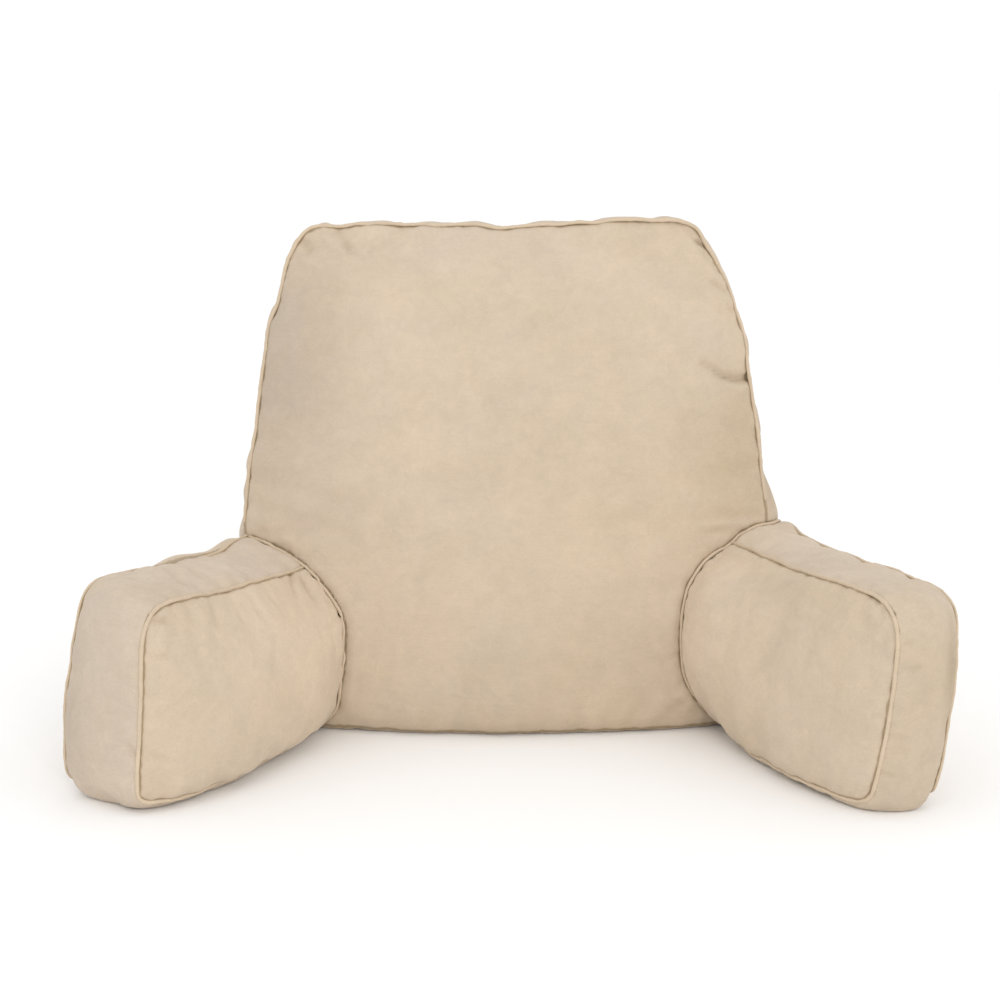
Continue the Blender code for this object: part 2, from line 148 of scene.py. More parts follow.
def boxed_cushion(name, panel_a, panel_b, bulge, levels):
    columns, rows = len(panel_a) - 1, len(panel_a[0]) - 1
    cage = bmesh.new()
    grid = {}
    for key, panel in (("a", panel_a), ("b", panel_b)):
        for i in range(columns + 1):
            for j in range(rows + 1):
                grid[key, i, j] = cage.verts.new(panel[i][j])
    ring = perimeter(columns, rows)
    middle = [
        cage.verts.new((panel_a[i][j] + panel_b[i][j]) / 2 + bulge(i, j)) for i, j in ring
    ]
    for key, slot in (("a", PANEL_A), ("b", PANEL_B)):
        for i in range(columns):
            for j in range(rows):
                face = cage.faces.new(
                    [grid[key, i, j], grid[key, i + 1, j], grid[key, i + 1, j + 1], grid[key, i, j + 1]]
                )
                face.material_index = slot
    for n, (i, j) in enumerate(ring):
        following = (n + 1) % len(ring)
        p, q = ring[following]
        one = cage.faces.new([grid["a", i, j], grid["a", p, q], middle[following], middle[n]])
        two = cage.faces.new([middle[n], middle[following], grid["b", p, q], grid["b", i, j]])
        one.material_index = two.material_index = GUSSET
    bmesh.ops.recalc_face_normals(cage, faces=cage.faces)
    sharp = cage.edges.layers.float.new("crease_edge")
    for key in "ab":
        for n, (i, j) in enumerate(ring):
            p, q = ring[(n + 1) % len(ring)]
            cage.edges.get([grid[key, i, j], grid[key, p, q]])[sharp] = 1.0
    cage.verts.index_update()
    members = {key: [grid[key, i, j].index for i, j in ring] for key in "ab"}
    mesh = bpy.data.meshes.new(name + "_cage")
    cage.to_mesh(mesh)
    cage.free()
    obj = bpy.data.objects.new(name, mesh)
    bpy.context.scene.collection.objects.link(obj)
    for n in range(4):                     # empty slots keep the panels' numbers
        mesh.materials.append(None)
    for key in "ab":
        obj.vertex_groups.new(name="seam_" + key).add(members[key], 1.0, "REPLACE")
    smooth = obj.modifiers.new("Smooth", "SUBSURF")
    smooth.levels = smooth.render_levels = levels
    smooth.boundary_smooth = "ALL"
    fine = applied(obj)
    obj.modifiers.clear()
    obj.data = fine
    fine.name = name
    seams = {key: seam_loop(obj, key) for key in "ab"}
    fine.shade_smooth()
    return obj, seams


def seam_loop(obj, key):
    group = obj.vertex_groups["seam_" + key].index
    on = set()
    for vertex in obj.data.vertices:
        for member in vertex.groups:
            if member.group == group and member.weight > 0.999:
                on.add(vertex.index)
    links = {index: [] for index in on}
    for edge in obj.data.edges:
        a, b = edge.vertices
        if a in on and b in on:
            links[a].append(b)
            links[b].append(a)
    start = min(on)
    loop, current = [start], links[start][0]
    while current != start:
        loop.append(current)
        current = [n for n in links[current] if n != loop[-2]][0]
    return loop


def back_panels():
    front, rear = [], []
    for i, across in enumerate(BACK_COLUMNS):
        front_column, rear_column = [], []
        for j, row in enumerate(BACK_ROWS):
            crown = BACK_CROWN[i]
            sag = BACK_TOP_SAG[i] if j == len(BACK_ROWS) - 1 else 0.0
            front_column.append(
                Vector((mix(row.left, row.right, across), row.front_y - row.front_crown * crown, row.z + sag))
            )
            rear_column.append(
                Vector((mix(row.rear_left, row.rear_right, across), row.rear_y + row.rear_crown * crown, row.rear_z + sag))
            )
        front.append(front_column)
        rear.append(rear_column)
    return front, rear


def back_bulge(i, j):
    last_i, last_j = len(BACK_COLUMNS) - 1, len(BACK_ROWS) - 1
    out = Vector((0, 0, 0))
    if i == 0:
        out.x = -BACK_LEFT_BULGE[j]
    if i == last_i:
        out.x = BACK_RIGHT_BULGE[j]
    if j == 0:
        out.z = -BACK_FOOT_DROP
    if j == last_j:
        out.z = BACK_TOP_BULGE
    return out


def arm_frame(arm):
    along = Vector((arm.side * math.sin(arm.splay), -math.cos(arm.splay), 0))
    outward = Vector((arm.side * math.cos(arm.splay), math.sin(arm.splay), 0))
    return Vector((arm.root_x, arm.root_y, 0)), along, outward


def arm_panels(arm):
    root, along, outward = arm_frame(arm)
    inner, outer = [], []
    for section in arm.sections:
        at_front = section is arm.sections[-1]
        bow_in, bow_out = arm.front_bow if at_front else (0.0, 0.0)
        inner_column, outer_column = [], []
        for height, crown in zip(ARM_HEIGHTS, arm.crowns):
            tuck = section.tuck if height == 0.0 else 0.0
            reach = mix(section.foot, section.head, height)
            skew = mix(section.foot_skew, section.head_skew, height)
            side_in = mix(section.foot_in, section.head_in, height) - section.crown_in * crown + tuck
            side_out = mix(section.foot_out, section.head_out, height) + section.crown_out * crown - tuck * 0.6
            z_in = mix(ARM_SEAM_FOOT, section.top_in, height)
            z_out = mix(ARM_SEAM_FOOT, section.top_out, height)
            inner_column.append(root + along * (reach + bow_in * crown) + outward * side_in + Vector((0, 0, z_in)))
            outer_column.append(root + along * (reach + skew + bow_out * crown) + outward * side_out + Vector((0, 0, z_out)))
        inner.append(inner_column)
        outer.append(outer_column)
    return inner, outer


def arm_bulge(arm):
    _, along, _ = arm_frame(arm)
    last_i, last_j = len(arm.sections) - 1, len(ARM_HEIGHTS) - 1

    def bulge(i, j):
        out = Vector((0, 0, 0))
        if i == last_i:
            out += along * ARM_FRONT_BULGE[j]
        if j == 0:
            out.z -= ARM_FOOT_DROP
        if j == last_j:
            out.z += arm.sections[i].top_bulge
        return out

    return bulge


# ----------------------------------------------------------------------------
# Fields that shape the cloth
# ----------------------------------------------------------------------------
def swell(co, seed, wavelength, waves=28):
    """A smooth random field of unit strength, the same on each run."""
    rng = np.random.default_rng(seed)
    out = np.zeros(len(co))
    for _ in range(waves):
        direction = rng.normal(size=3)
        direction /= np.linalg.norm(direction)
        size = wavelength * rng.uniform(0.75, 1.7)
        out += np.sin(co @ direction * (2 * math.pi / size) + rng.uniform(0, 2 * math.pi))
    return out / math.sqrt(waves / 2)


def wander(s, length, seed, wavelength, closed=True):
    """A smooth random line along a seam of this length, of unit strength."""
    rng = np.random.default_rng(seed)
    out = np.zeros_like(s)
    count = 14
    for _ in range(count):
        size = wavelength * rng.uniform(0.6, 1.8)
        turns = max(1, round(length / size)) if closed else length / size
        out += np.sin(s / length * turns * 2 * math.pi + rng.uniform(0, 2 * math.pi))
    return out / math.sqrt(count / 2)


class Line:
    """A line on the cloth, closed or open, that points are measured from."""

    def __init__(self, points, closed=False, step=0.0008):
        points = np.asarray(points, float)
        if closed:
            points = np.vstack([points, points[:1]])
        gaps = np.linalg.norm(np.diff(points, axis=0), axis=1)
        s = np.concatenate([[0], np.cumsum(gaps)])
        self.length, self.closed = s[-1], closed
        count = max(2, int(self.length / step))
        self.s = np.linspace(0, self.length, count)
        self.points = np.stack([np.interp(self.s, s, points[:, k]) for k in range(3)], 1)
        self.tree = KDTree(count)
        for n, p in enumerate(self.points):
            self.tree.insert(p, n)
        self.tree.balance()

    def measure(self, co, reach):
        """(indices, distance, s) of the points nearer than reach."""
        low, high = self.points.min(0) - reach, self.points.max(0) + reach
        near = np.nonzero(((co >= low) & (co <= high)).all(1))[0]
        index, distance, where = [], [], []
        for n in near:
            _, m, d = self.tree.find(co[n])
            if d < reach:
                index.append(n)
                distance.append(d)
                where.append(self.s[m])
        return np.array(index, int), np.array(distance), np.array(where)


def smoothed(points, closed, passes):
    points = np.array(points, float)
    for _ in range(passes):
        if closed:
            points = (np.roll(points, 1, 0) + 2 * points + np.roll(points, -1, 0)) / 4
        else:
            points[1:-1] = (points[:-2] + 2 * points[1:-1] + points[2:]) / 4
    return points


def resampled(points, step, closed=False):
    points = np.asarray(points, float)
    if closed:
        points = np.vstack([points, points[:1]])
    s = np.concatenate([[0], np.cumsum(np.linalg.norm(np.diff(points[:, :3], axis=0), axis=1))])
    count = max(2, int(round(s[-1] / step)) + 1)
    at = np.linspace(0, s[-1], count)
    out = np.stack([np.interp(at, s, points[:, k]) for k in range(points.shape[1])], 1)
    return out[:-1] if closed else out


# Nudges: a place on the pillow, which way and how far its cloth is moved, and how
# far round it that reaches. These are the uneven places of the seams' outline.
Nudge = namedtuple("Nudge", "x y z dx dy dz reach")
NUDGES = (
    # the left arm: its top front corners, its foot, and its top beside the joint
    Nudge(-0.281, -0.244, 0.170, 0.0015, 0.0030, -0.0045, 0.024),
    Nudge(-0.316, -0.145, 0.178, 0.0010, 0.0000, -0.0018, 0.026),
    Nudge(-0.326, -0.236, 0.008, 0.0010, 0.0035, 0.0075, 0.026),
    Nudge(-0.284, -0.255, 0.100, 0.0014, 0.0000, 0.0000, 0.055),
    Nudge(-0.252, 0.020, 0.165, -0.0010, 0.0000, 0.0048, 0.035),
    Nudge(-0.128, -0.030, 0.040, -0.0110, 0.0000, 0.0000, 0.045),
    Nudge(-0.354, -0.180, 0.145, 0.0030, 0.0000, 0.0000, 0.036),
    Nudge(-0.360, -0.198, 0.020, 0.0020, 0.0010, 0.0010, 0.036),
    Nudge(-0.358, -0.202, 0.010, 0.0012, 0.0000, 0.0014, 0.021),
    Nudge(-0.349, -0.214, 0.004, -0.0022, 0.0000, -0.0006, 0.012),
    Nudge(-0.225, 0.045, 0.165, 0.0000, 0.0000, 0.0030, 0.030),
    Nudge(-0.249, 0.021, 0.167, 0.0000, 0.0000, 0.0020, 0.024),
    # the right arm: the same places
    Nudge(0.310, -0.262, 0.178, 0.0000, 0.0030, -0.0040, 0.020),
    Nudge(0.362, -0.210, 0.176, -0.0018, 0.0020, -0.0028, 0.018),
    Nudge(0.364, -0.222, 0.110, 0.0030, 0.0000, 0.0000, 0.060),
    Nudge(0.354, -0.238, 0.022, -0.0015, 0.0025, 0.0000, 0.022),
    Nudge(0.325, -0.250, 0.004, 0.0000, 0.0030, 0.0012, 0.025),
    Nudge(0.150, -0.020, 0.105, 0.0055, 0.0000, 0.0000, 0.040),
    Nudge(0.303, -0.040, 0.172, 0.0000, 0.0000, -0.0028, 0.035),
    Nudge(0.336, -0.132, 0.173, 0.0000, 0.0000, 0.0020, 0.035),
    Nudge(0.356, -0.236, 0.050, 0.0022, 0.0000, 0.0000, 0.040),
    Nudge(0.344, -0.247, 0.014, 0.0024, -0.0004, -0.0015, 0.018),
    Nudge(0.352, -0.224, 0.008, -0.0025, 0.0000, 0.0020, 0.022),
    Nudge(0.312, -0.085, 0.172, 0.0000, 0.0000, -0.0030, 0.020),
    Nudge(0.272, 0.020, 0.174, 0.0000, 0.0000, -0.0020, 0.018),
    # the boxing swells beside each joint and at the back's left edge
    Nudge(-0.246, 0.070, 0.163, -0.0040, 0.0000, 0.0000, 0.018),
    Nudge(0.272, 0.075, 0.190, 0.0070, 0.0000, 0.0000, 0.024),
    Nudge(0.262, 0.055, 0.172, 0.0070, 0.0000, 0.0015, 0.020),
    Nudge(0.252, 0.062, 0.210, 0.0026, 0.0000, 0.0000, 0.016),
    Nudge(-0.212, 0.115, 0.358, -0.0060, 0.0000, 0.0000, 0.022),
    Nudge(-0.226, 0.055, 0.262, 0.0036, 0.0000, 0.0000, 0.034),
    Nudge(-0.108, 0.090, 0.449, 0.0000, 0.0000, 0.0020, 0.014),
    Nudge(0.205, 0.100, 0.400, -0.0025, 0.0000, -0.0005, 0.024),
    # the front edge's left side, and its right side, drawn in at the large crease
    Nudge(-0.209, 0.070, 0.352, -0.0018, 0.0000, 0.0000, 0.018),
    Nudge(-0.197, 0.082, 0.410, -0.0040, 0.0000, 0.0010, 0.022),
    Nudge(0.217, 0.065, 0.338, 0.0040, 0.0000, 0.0000, 0.022),
    Nudge(0.226, 0.060, 0.306, 0.0030, 0.0000, 0.0000, 0.012),
    Nudge(0.2285, 0.055, 0.280, 0.0025, 0.0000, 0.0000, 0.020),
    Nudge(0.192, 0.084, 0.424, -0.0018, 0.0000, -0.0012, 0.020),
    Nudge(0.150, 0.095, 0.452, 0.0000, 0.0000, -0.0014, 0.024),
    Nudge(-0.201, 0.084, 0.404, 0.0022, 0.0000, 0.0000, 0.012),
    # the boxing shows a little over the top edge, which has two notches
    Nudge(-0.022, 0.125, 0.452, 0.0000, 0.0000, 0.0030, 0.026),
    Nudge(0.196, 0.130, 0.412, -0.0045, 0.0000, -0.0010, 0.028),
    Nudge(0.003, 0.097, 0.449, 0.0000, 0.0000, -0.0045, 0.019),
    Nudge(-0.147, 0.090, 0.447, 0.0000, 0.0000, -0.0030, 0.011),
)

# Creases: soft troughs (depth > 0) or ridges (depth < 0) through a few points on
# the cloth. width is the half width of the fold.
# A direction moves the cloth that way instead of along its own facing.
Crease = namedtuple("Crease", "piece width depth points direction", defaults=(None,))
CREASES = (
    # folds that run in from the back's top left corner
    Crease("back", 0.0045, -0.0026, ((-0.165, 0.084, 0.443), (-0.156, 0.079, 0.433), (-0.144, 0.073, 0.425), (-0.134, 0.068, 0.416))),
    Crease("back", 0.0045, 0.0028, ((-0.152, 0.087, 0.446), (-0.143, 0.078, 0.434), (-0.134, 0.070, 0.421))),
    Crease("back", 0.0055, 0.0024, ((-0.184, 0.088, 0.436), (-0.172, 0.078, 0.424))),
    Crease("back", 0.0050, -0.0022, ((-0.187, 0.084, 0.421), (-0.174, 0.076, 0.416), (-0.160, 0.070, 0.409))),
    # its boxing swells out beside its left edge
    Crease("back", 0.0110, -0.0045, ((-0.209, 0.092, 0.338), (-0.209, 0.100, 0.358), (-0.204, 0.106, 0.378))),
    # puckers along its right edge
    Crease("back", 0.0026, 0.0050, ((0.178, 0.084, 0.438), (0.186, 0.086, 0.432), (0.194, 0.089, 0.425))),
    Crease("back", 0.0045, 0.0024, ((0.190, 0.073, 0.400), (0.202, 0.074, 0.393), (0.210, 0.075, 0.386))),
    Crease("back", 0.0050, -0.0012, ((0.192, 0.070, 0.391), (0.203, 0.071, 0.385), (0.211, 0.073, 0.378))),
    Crease("back", 0.0030, 0.0040, ((0.205, 0.071, 0.381), (0.215, 0.072, 0.368))),
    Crease("back", 0.0028, 0.0040, ((0.218, 0.074, 0.355), (0.226, 0.072, 0.342))),
    # the large crease there, with the swelling under it
    Crease("back", 0.0050, 0.0030, ((0.180, 0.046, 0.329), (0.192, 0.048, 0.323), (0.204, 0.052, 0.317))),
    Crease("back", 0.0042, 0.0065, ((0.194, 0.048, 0.320), (0.206, 0.051, 0.314), (0.220, 0.056, 0.310), (0.234, 0.064, 0.312), (0.240, 0.068, 0.316))),
    Crease("back", 0.0055, -0.0035, ((0.202, 0.049, 0.309), (0.216, 0.053, 0.301), (0.230, 0.062, 0.302))),
    Crease("back", 0.0050, 0.0012, ((0.213, 0.051, 0.296), (0.229, 0.058, 0.292))),
    # level folds above the right arm and short ones above the left
    Crease("back", 0.0060, 0.0022, ((0.170, -0.003, 0.190), (0.195, 0.007, 0.192), (0.225, 0.023, 0.188), (0.247, 0.041, 0.187))),
    Crease("back", 0.0050, -0.0010, ((0.178, -0.001, 0.183), (0.202, 0.008, 0.184), (0.232, 0.026, 0.182))),
    Crease("back", 0.0050, 0.0018, ((0.174, -0.004, 0.177), (0.195, 0.003, 0.179), (0.220, 0.017, 0.181))),
    Crease("back", 0.0045, 0.0016, ((-0.225, 0.025, 0.176), (-0.212, 0.017, 0.174), (-0.198, 0.009, 0.175))),
    Crease("back", 0.0045, 0.0018, ((-0.207, 0.012, 0.166), (-0.189, 0.001, 0.162))),
    # folds at the foot beside the arms
    Crease("back", 0.0050, 0.0016, ((-0.124, -0.038, 0.060), (-0.127, -0.037, 0.030))),
    Crease("back", 0.0050, 0.0012, ((-0.114, -0.038, 0.052), (-0.116, -0.038, 0.024))),
    Crease("back", 0.0060, 0.0020, ((0.156, -0.036, 0.033), (0.172, -0.033, 0.024), (0.184, -0.029, 0.014))),
    Crease("back", 0.0060, 0.0016, ((0.146, -0.037, 0.029), (0.175, -0.031, 0.008))),
    # the left arm's inner panel: two deep folds from the joint, then soft ones
    Crease("arm_left", 0.0035, 0.0030, ((-0.189, -0.024, 0.149), (-0.184, -0.051, 0.143), (-0.178, -0.065, 0.132))),
    Crease("arm_left", 0.0035, 0.0028, ((-0.181, -0.022, 0.146), (-0.173, -0.039, 0.136), (-0.161, -0.053, 0.121))),
    Crease("arm_left", 0.0045, 0.0013, ((-0.245, -0.164, 0.161), (-0.236, -0.179, 0.148), (-0.228, -0.185, 0.130))),
    Crease("arm_left", 0.0045, 0.0013, ((-0.231, -0.136, 0.157), (-0.221, -0.149, 0.144), (-0.210, -0.153, 0.126))),
    Crease("arm_left", 0.0045, 0.0013, ((-0.219, -0.115, 0.156), (-0.209, -0.127, 0.142), (-0.196, -0.130, 0.124))),
    Crease("arm_left", 0.0045, 0.0013, ((-0.207, -0.082, 0.153), (-0.197, -0.101, 0.141), (-0.183, -0.105, 0.123))),
    # puckers in its corner and along its front seam, on both sides
    Crease("arm_left", 0.0045, 0.0035, ((-0.280, -0.236, 0.161), (-0.273, -0.231, 0.157), (-0.264, -0.219, 0.155))),
    Crease("arm_left", 0.0040, 0.0018, ((-0.284, -0.248, 0.133), (-0.273, -0.242, 0.131), (-0.262, -0.230, 0.126))),
    Crease("arm_left", 0.0040, 0.0014, ((-0.284, -0.250, 0.101), (-0.270, -0.243, 0.096))),
    Crease("arm_left", 0.0045, 0.0014, ((-0.287, -0.252, 0.058), (-0.275, -0.248, 0.049), (-0.260, -0.239, 0.041))),
    Crease("arm_left", 0.0040, 0.0014, ((-0.303, -0.232, 0.155), (-0.288, -0.240, 0.153))),
    Crease("arm_left", 0.0040, 0.0016, ((-0.301, -0.249, 0.060), (-0.288, -0.253, 0.048))),
    # slanting folds across its top
    Crease("arm_left", 0.0060, 0.0018, ((-0.288, -0.134, 0.179), (-0.268, -0.160, 0.175), (-0.255, -0.175, 0.168))),
    Crease("arm_left", 0.0060, 0.0018, ((-0.279, -0.101, 0.175), (-0.256, -0.140, 0.173), (-0.240, -0.140, 0.167))),
    # its outer panel swells up past the top seam
    Crease("arm_left", 0.0120, 0.0130, ((-0.226, 0.085, 0.156), (-0.246, 0.032, 0.158), (-0.270, -0.036, 0.160), (-0.294, -0.094, 0.164), (-0.308, -0.125, 0.166)), (0.45, -0.28, -0.85)),
    # the right arm: a dimple in its corner and small puckers at its front
    Crease("arm_right", 0.0040, 0.0035, ((0.298, -0.220, 0.177), (0.303, -0.238, 0.174), (0.306, -0.249, 0.165))),
    Crease("arm_right", 0.0040, 0.0015, ((0.313, -0.266, 0.150), (0.328, -0.266, 0.148))),
    Crease("arm_right", 0.0040, 0.0018, ((0.311, -0.267, 0.128), (0.338, -0.262, 0.126))),
    Crease("arm_right", 0.0042, 0.0015, ((0.304, -0.262, 0.071), (0.324, -0.262, 0.068))),
    Crease("arm_right", 0.0042, 0.0015, ((0.299, -0.257, 0.040), (0.318, -0.258, 0.035))),
)


def nudged(co):
    out = co.copy()
    for n in NUDGES:
        away = ((co - (n.x, n.y, n.z)) ** 2).sum(1)
        out += np.exp(-away / n.reach ** 2)[:, None] * np.array((n.dx, n.dy, n.dz))
    return out


def creased(co, facing, piece):
    """How the creases move each point, and how deep in a fold it then lies: above 0
    in a fold, below 0 on a ridge."""
    out, fold = np.zeros((len(co), 3)), np.zeros(len(co))
    for crease in CREASES:
        if crease.piece != piece:
            continue
        rough = np.array(crease.points, float)
        line = Line(smoothed(resampled(rough, 0.002), False, 12))
        index, d, s = line.measure(co, crease.width * 3)
        if not len(index):
            continue
        end = np.minimum(s, line.length - s)
        taper = np.clip(end / (0.35 * line.length) + 0.12, 0, 1)
        taper = taper * taper * (3 - 2 * taper)
        q = d / crease.width
        deep = crease.depth * taper * (1 - 0.55 * q * q) * np.exp(-q * q)
        way = facing[index] if crease.direction is None else np.array(crease.direction)
        out[index] -= way * deep[:, None]
        if crease.direction is None:
            fold[index] += np.clip(crease.depth / 0.004, -1, 1) * taper * np.exp(-(1.5 * q) ** 2)
    return out, np.clip(fold, -1, 1)


def gather_field(index, d, s, length, seed, spacing, depth, reach, size, closed=True):
    """Small folds that start at a seam and die away from it."""
    rng = np.random.default_rng(seed)
    out = np.zeros(len(index))
    at = rng.uniform(0, spacing)
    while at < length:
        deep = depth * rng.uniform(0.25, 1.0) * (1 if rng.uniform() < 0.8 else -0.6)
        wide = size * rng.uniform(0.7, 1.5)
        far = reach * rng.uniform(0.4, 1.0)
        skew = rng.normal() * 0.35
        along = s - at - skew * d
        if closed:
            along = (along + length / 2) % length - length / 2
        q = along / (wide * (1 + 0.8 * d / far))
        fade = np.clip(1 - d / far, 0, 1) ** 1.5
        out -= deep * fade * (1 - 1.1 * q * q) * np.exp(-q * q)
        at += spacing * rng.uniform(0.5, 1.6)
    return out


def flattened(co, softness=0.0022):
    out = co.copy()
    z = out[:, 2]
    out[:, 2] = (z + np.sqrt(z * z + softness * softness)) / 2 - softness * 0.02
    return out


# ----------------------------------------------------------------------------
# Build the three cushions
# ----------------------------------------------------------------------------
def undulate(obj, seed, amounts):
    mesh = obj.data
    co, no = coords(mesh), normals(mesh)
    move = np.zeros(len(co))
    for k, (wavelength, amount) in enumerate(amounts):
        move += amount * swell(co, seed + k, wavelength)
    set_coords(mesh, co + no * move[:, None])


def spread(mesh, values, rounds, held=None):
    """Average a field over the mesh's neighbours, again and again."""
    edges = np.empty(len(mesh.edges) * 2, np.int32)
    mesh.edges.foreach_get("vertices", edges)
    a, b = edges.reshape(-1, 2).T
    count = len(mesh.vertices)
    degree = np.bincount(a, minlength=count) + np.bincount(b, minlength=count)
    out = values.copy()
    for _ in range(rounds):
        near = np.stack([
            np.bincount(a, out[b, k], count) + np.bincount(b, out[a, k], count) for k in range(3)
        ], 1) / degree[:, None]
        out = out * 0.4 + near * 0.6
        if held is not None:
            out[held] = 0
    return out


Puff = namedtuple("Puff", "pressure slack keep_swell cap")
BACK_PUFF = Puff(1.2, 0.022, 0.05, 0.0035)
ARM_PUFFS = {
    "left": Puff(1.2, 0.017, 0.05, 0.0017),
    "right": Puff(1.2, 0.015, 0.05, 0.0008),
}


def puffed(obj, seams, puff):
    """Blow the cushion up as cloth held along its seams. Its wrinkles are kept, and
    only a little of its swelling, because the shape already has its crown."""
    mesh = obj.data
    before = coords(mesh)
    held = sorted(set(seams["a"]) | set(seams["b"]))
    obj.vertex_groups.new(name="held").add(held, 1.0, "REPLACE")
    cloth = obj.modifiers.new("Cloth", "CLOTH")
    settings = cloth.settings
    settings.quality = 6
    settings.mass = 0.25
    settings.air_damping = 3.0
    settings.tension_stiffness = settings.compression_stiffness = 12.0
    settings.shear_stiffness = 4.0
    settings.bending_stiffness = 0.12
    settings.tension_damping = settings.compression_damping = 8.0
    settings.use_pressure = True
    settings.uniform_pressure_force = puff.pressure
    settings.vertex_group_mass = "held"
    settings.shrink_min = settings.shrink_max = -puff.slack
    settings.effector_weights.gravity = 0.0
    cloth.collision_settings.use_collision = False
    cloth.collision_settings.use_self_collision = False
    cloth.point_cache.frame_start, cloth.point_cache.frame_end = 1, 24
    for frame_number in range(1, 25):
        bpy.context.scene.frame_set(frame_number)
    after = coords(applied(obj))
    obj.modifiers.clear()
    bpy.context.scene.frame_set(1)
    obj.vertex_groups.remove(obj.vertex_groups["held"])
    move = after - before
    swelling = spread(mesh, move, 60)
    kept_move = move - swelling * (1 - puff.keep_swell)
    size = np.linalg.norm(kept_move, axis=1)
    limit = puff.cap * np.tanh(size / puff.cap) / np.maximum(size, 1e-9)
    print(obj.name, "cloth moved", [round(float(v) * 1000, 1) for v in np.percentile(np.linalg.norm(move, axis=1), (50, 90, 99))],
          "kept", [round(float(v) * 1000, 2) for v in np.percentile(size, (50, 90, 99))], "mm")
    set_coords(mesh, before + kept_move * limit[:, None])


def finer(obj):
    smooth = obj.modifiers.new("Smooth", "SUBSURF")
    smooth.levels = smooth.render_levels = 1
    smooth.boundary_smooth = "ALL"
    fine = applied(obj)
    obj.modifiers.clear()
    obj.data = fine
    seams = {key: seam_loop(obj, key) for key in "ab"}
    fine.shade_smooth()
    return seams


BACK_WAVES = ((0.19, 0.0016), (0.075, 0.0007), (0.032, 0.00018))
ARM_WAVES = ((0.13, 0.0013), (0.06, 0.0006), (0.028, 0.00018))


def sewn(name, panels, bulge, seed, waves, puff):
    obj, seams = boxed_cushion(name, *panels, bulge, LEVELS - 1)
    set_coords(obj.data, nudged(coords(obj.data)))
    undulate(obj, seed, waves)
    puffed(obj, seams, puff)
    return obj, finer(obj)


back, back_seams = sewn("back", back_panels(), back_bulge, 11, BACK_WAVES, BACK_PUFF)
arms = {}
for arm, seed in ((ARM_LEFT, 23), (ARM_RIGHT, 37)):
    arms[arm.name] = (arm, *sewn("arm_" + arm.name, arm_panels(arm), arm_bulge(arm), seed, ARM_WAVES, ARM_PUFFS[arm.name]))


# The arms stop at the back
def grown_copy(obj, name, by):
    mesh = obj.data.copy()
    co, no = coords(mesh), normals(mesh)
    set_coords(mesh, co + no * by)
    cutter = bpy.data.objects.new(name, mesh)
    bpy.context.scene.collection.objects.link(cutter)
    return cutter


counter = grown_copy(back, "counter", 0.0002)
slots = np.full(len(counter.data.polygons), CUT, np.int32)
counter.data.polygons.foreach_set("material_index", slots)

def seam_rows(mesh, loop, slot):
    """Each point of a seam, with which way its panel and its boxing face."""
    order = {n: k for k, n in enumerate(loop)}
    facing = {slot: np.zeros((len(loop), 3)), GUSSET: np.zeros((len(loop), 3))}
    for face in mesh.polygons:
        if face.material_index in facing:
            for n in face.vertices:
                if n in order:
                    facing[face.material_index][order[n]] += face.normal
    columns = [coords(mesh)[loop]]
    for side in (slot, GUSSET):
        turned = smoothed(facing[side], True, 10)
        columns.append(turned / np.linalg.norm(turned, axis=1)[:, None])
    return np.hstack(columns)


seam_paths, seam_table = {}, {}
for name, (arm, obj, seams) in arms.items():
    seam_table[name] = {key: seam_rows(obj.data, seams[key], slot) for key, slot in (("a", PANEL_A), ("b", PANEL_B))}
    seam_paths[name] = {key: seam_table[name][key][:, :3] for key in "ab"}
    trim = obj.modifiers.new("Trim", "BOOLEAN")
    trim.operation = "DIFFERENCE"
    trim.solver = "EXACT"
    trim.material_mode = "INDEX"
    trim.object = counter
    cut = applied(obj)
    obj.modifiers.clear()
    obj.data = cut
    cut.name = obj.name
seam_table["back"] = {key: seam_rows(back.data, back_seams[key], slot) for key, slot in (("a", PANEL_A), ("b", PANEL_B))}
seam_paths["back"] = {key: seam_table["back"][key][:, :3] for key in "ab"}


def ring_loops(mesh):
    """Closed lines between the cut faces and the others, longest first."""
    sides = {}
    for face in mesh.polygons:
        cut_face = face.material_index == CUT
        for key in face.edge_keys:
            sides.setdefault(key, set()).add(cut_face)
    links = {}
    for (a, b), kinds in sides.items():
        if len(kinds) == 2:
            links.setdefault(a, []).append(b)
            links.setdefault(b, []).append(a)
    loops, unseen = [], set(links)
    while unseen:
        start = min(unseen)
        unseen.discard(start)
        loop = [start]
        while True:
            onward = [n for n in links[loop[-1]] if n in unseen]
            if not onward:
                break
            loop.append(onward[0])
            unseen.discard(onward[0])
        loops.append(loop)
    return sorted(loops, key=len, reverse=True)


rings = {}
for name, (arm, obj, seams) in arms.items():
    loops = ring_loops(obj.data)
    points = coords(obj.data)[loops[0]]
    rings[name] = smoothed(resampled(smoothed(points, True, 3), 0.0015, True), True, 14)
    print("ring", name, [len(l) for l in loops][:5], len(rings[name]), "faces", len(obj.data.polygons))

bpy.data.objects.remove(counter, do_unlink=True)


# ----------------------------------------------------------------------------
# Seams pull the cloth in, folds and gathers
# ----------------------------------------------------------------------------
def panel_of_vertices(mesh):
    """Which piece of cloth each point belongs to; on a seam the panel's."""
    out = np.full(len(mesh.vertices), GUSSET, int)
    for face in mesh.polygons:
        if face.material_index in (PANEL_A, PANEL_B):
            for n in face.vertices:
                out[n] = face.material_index
    return out


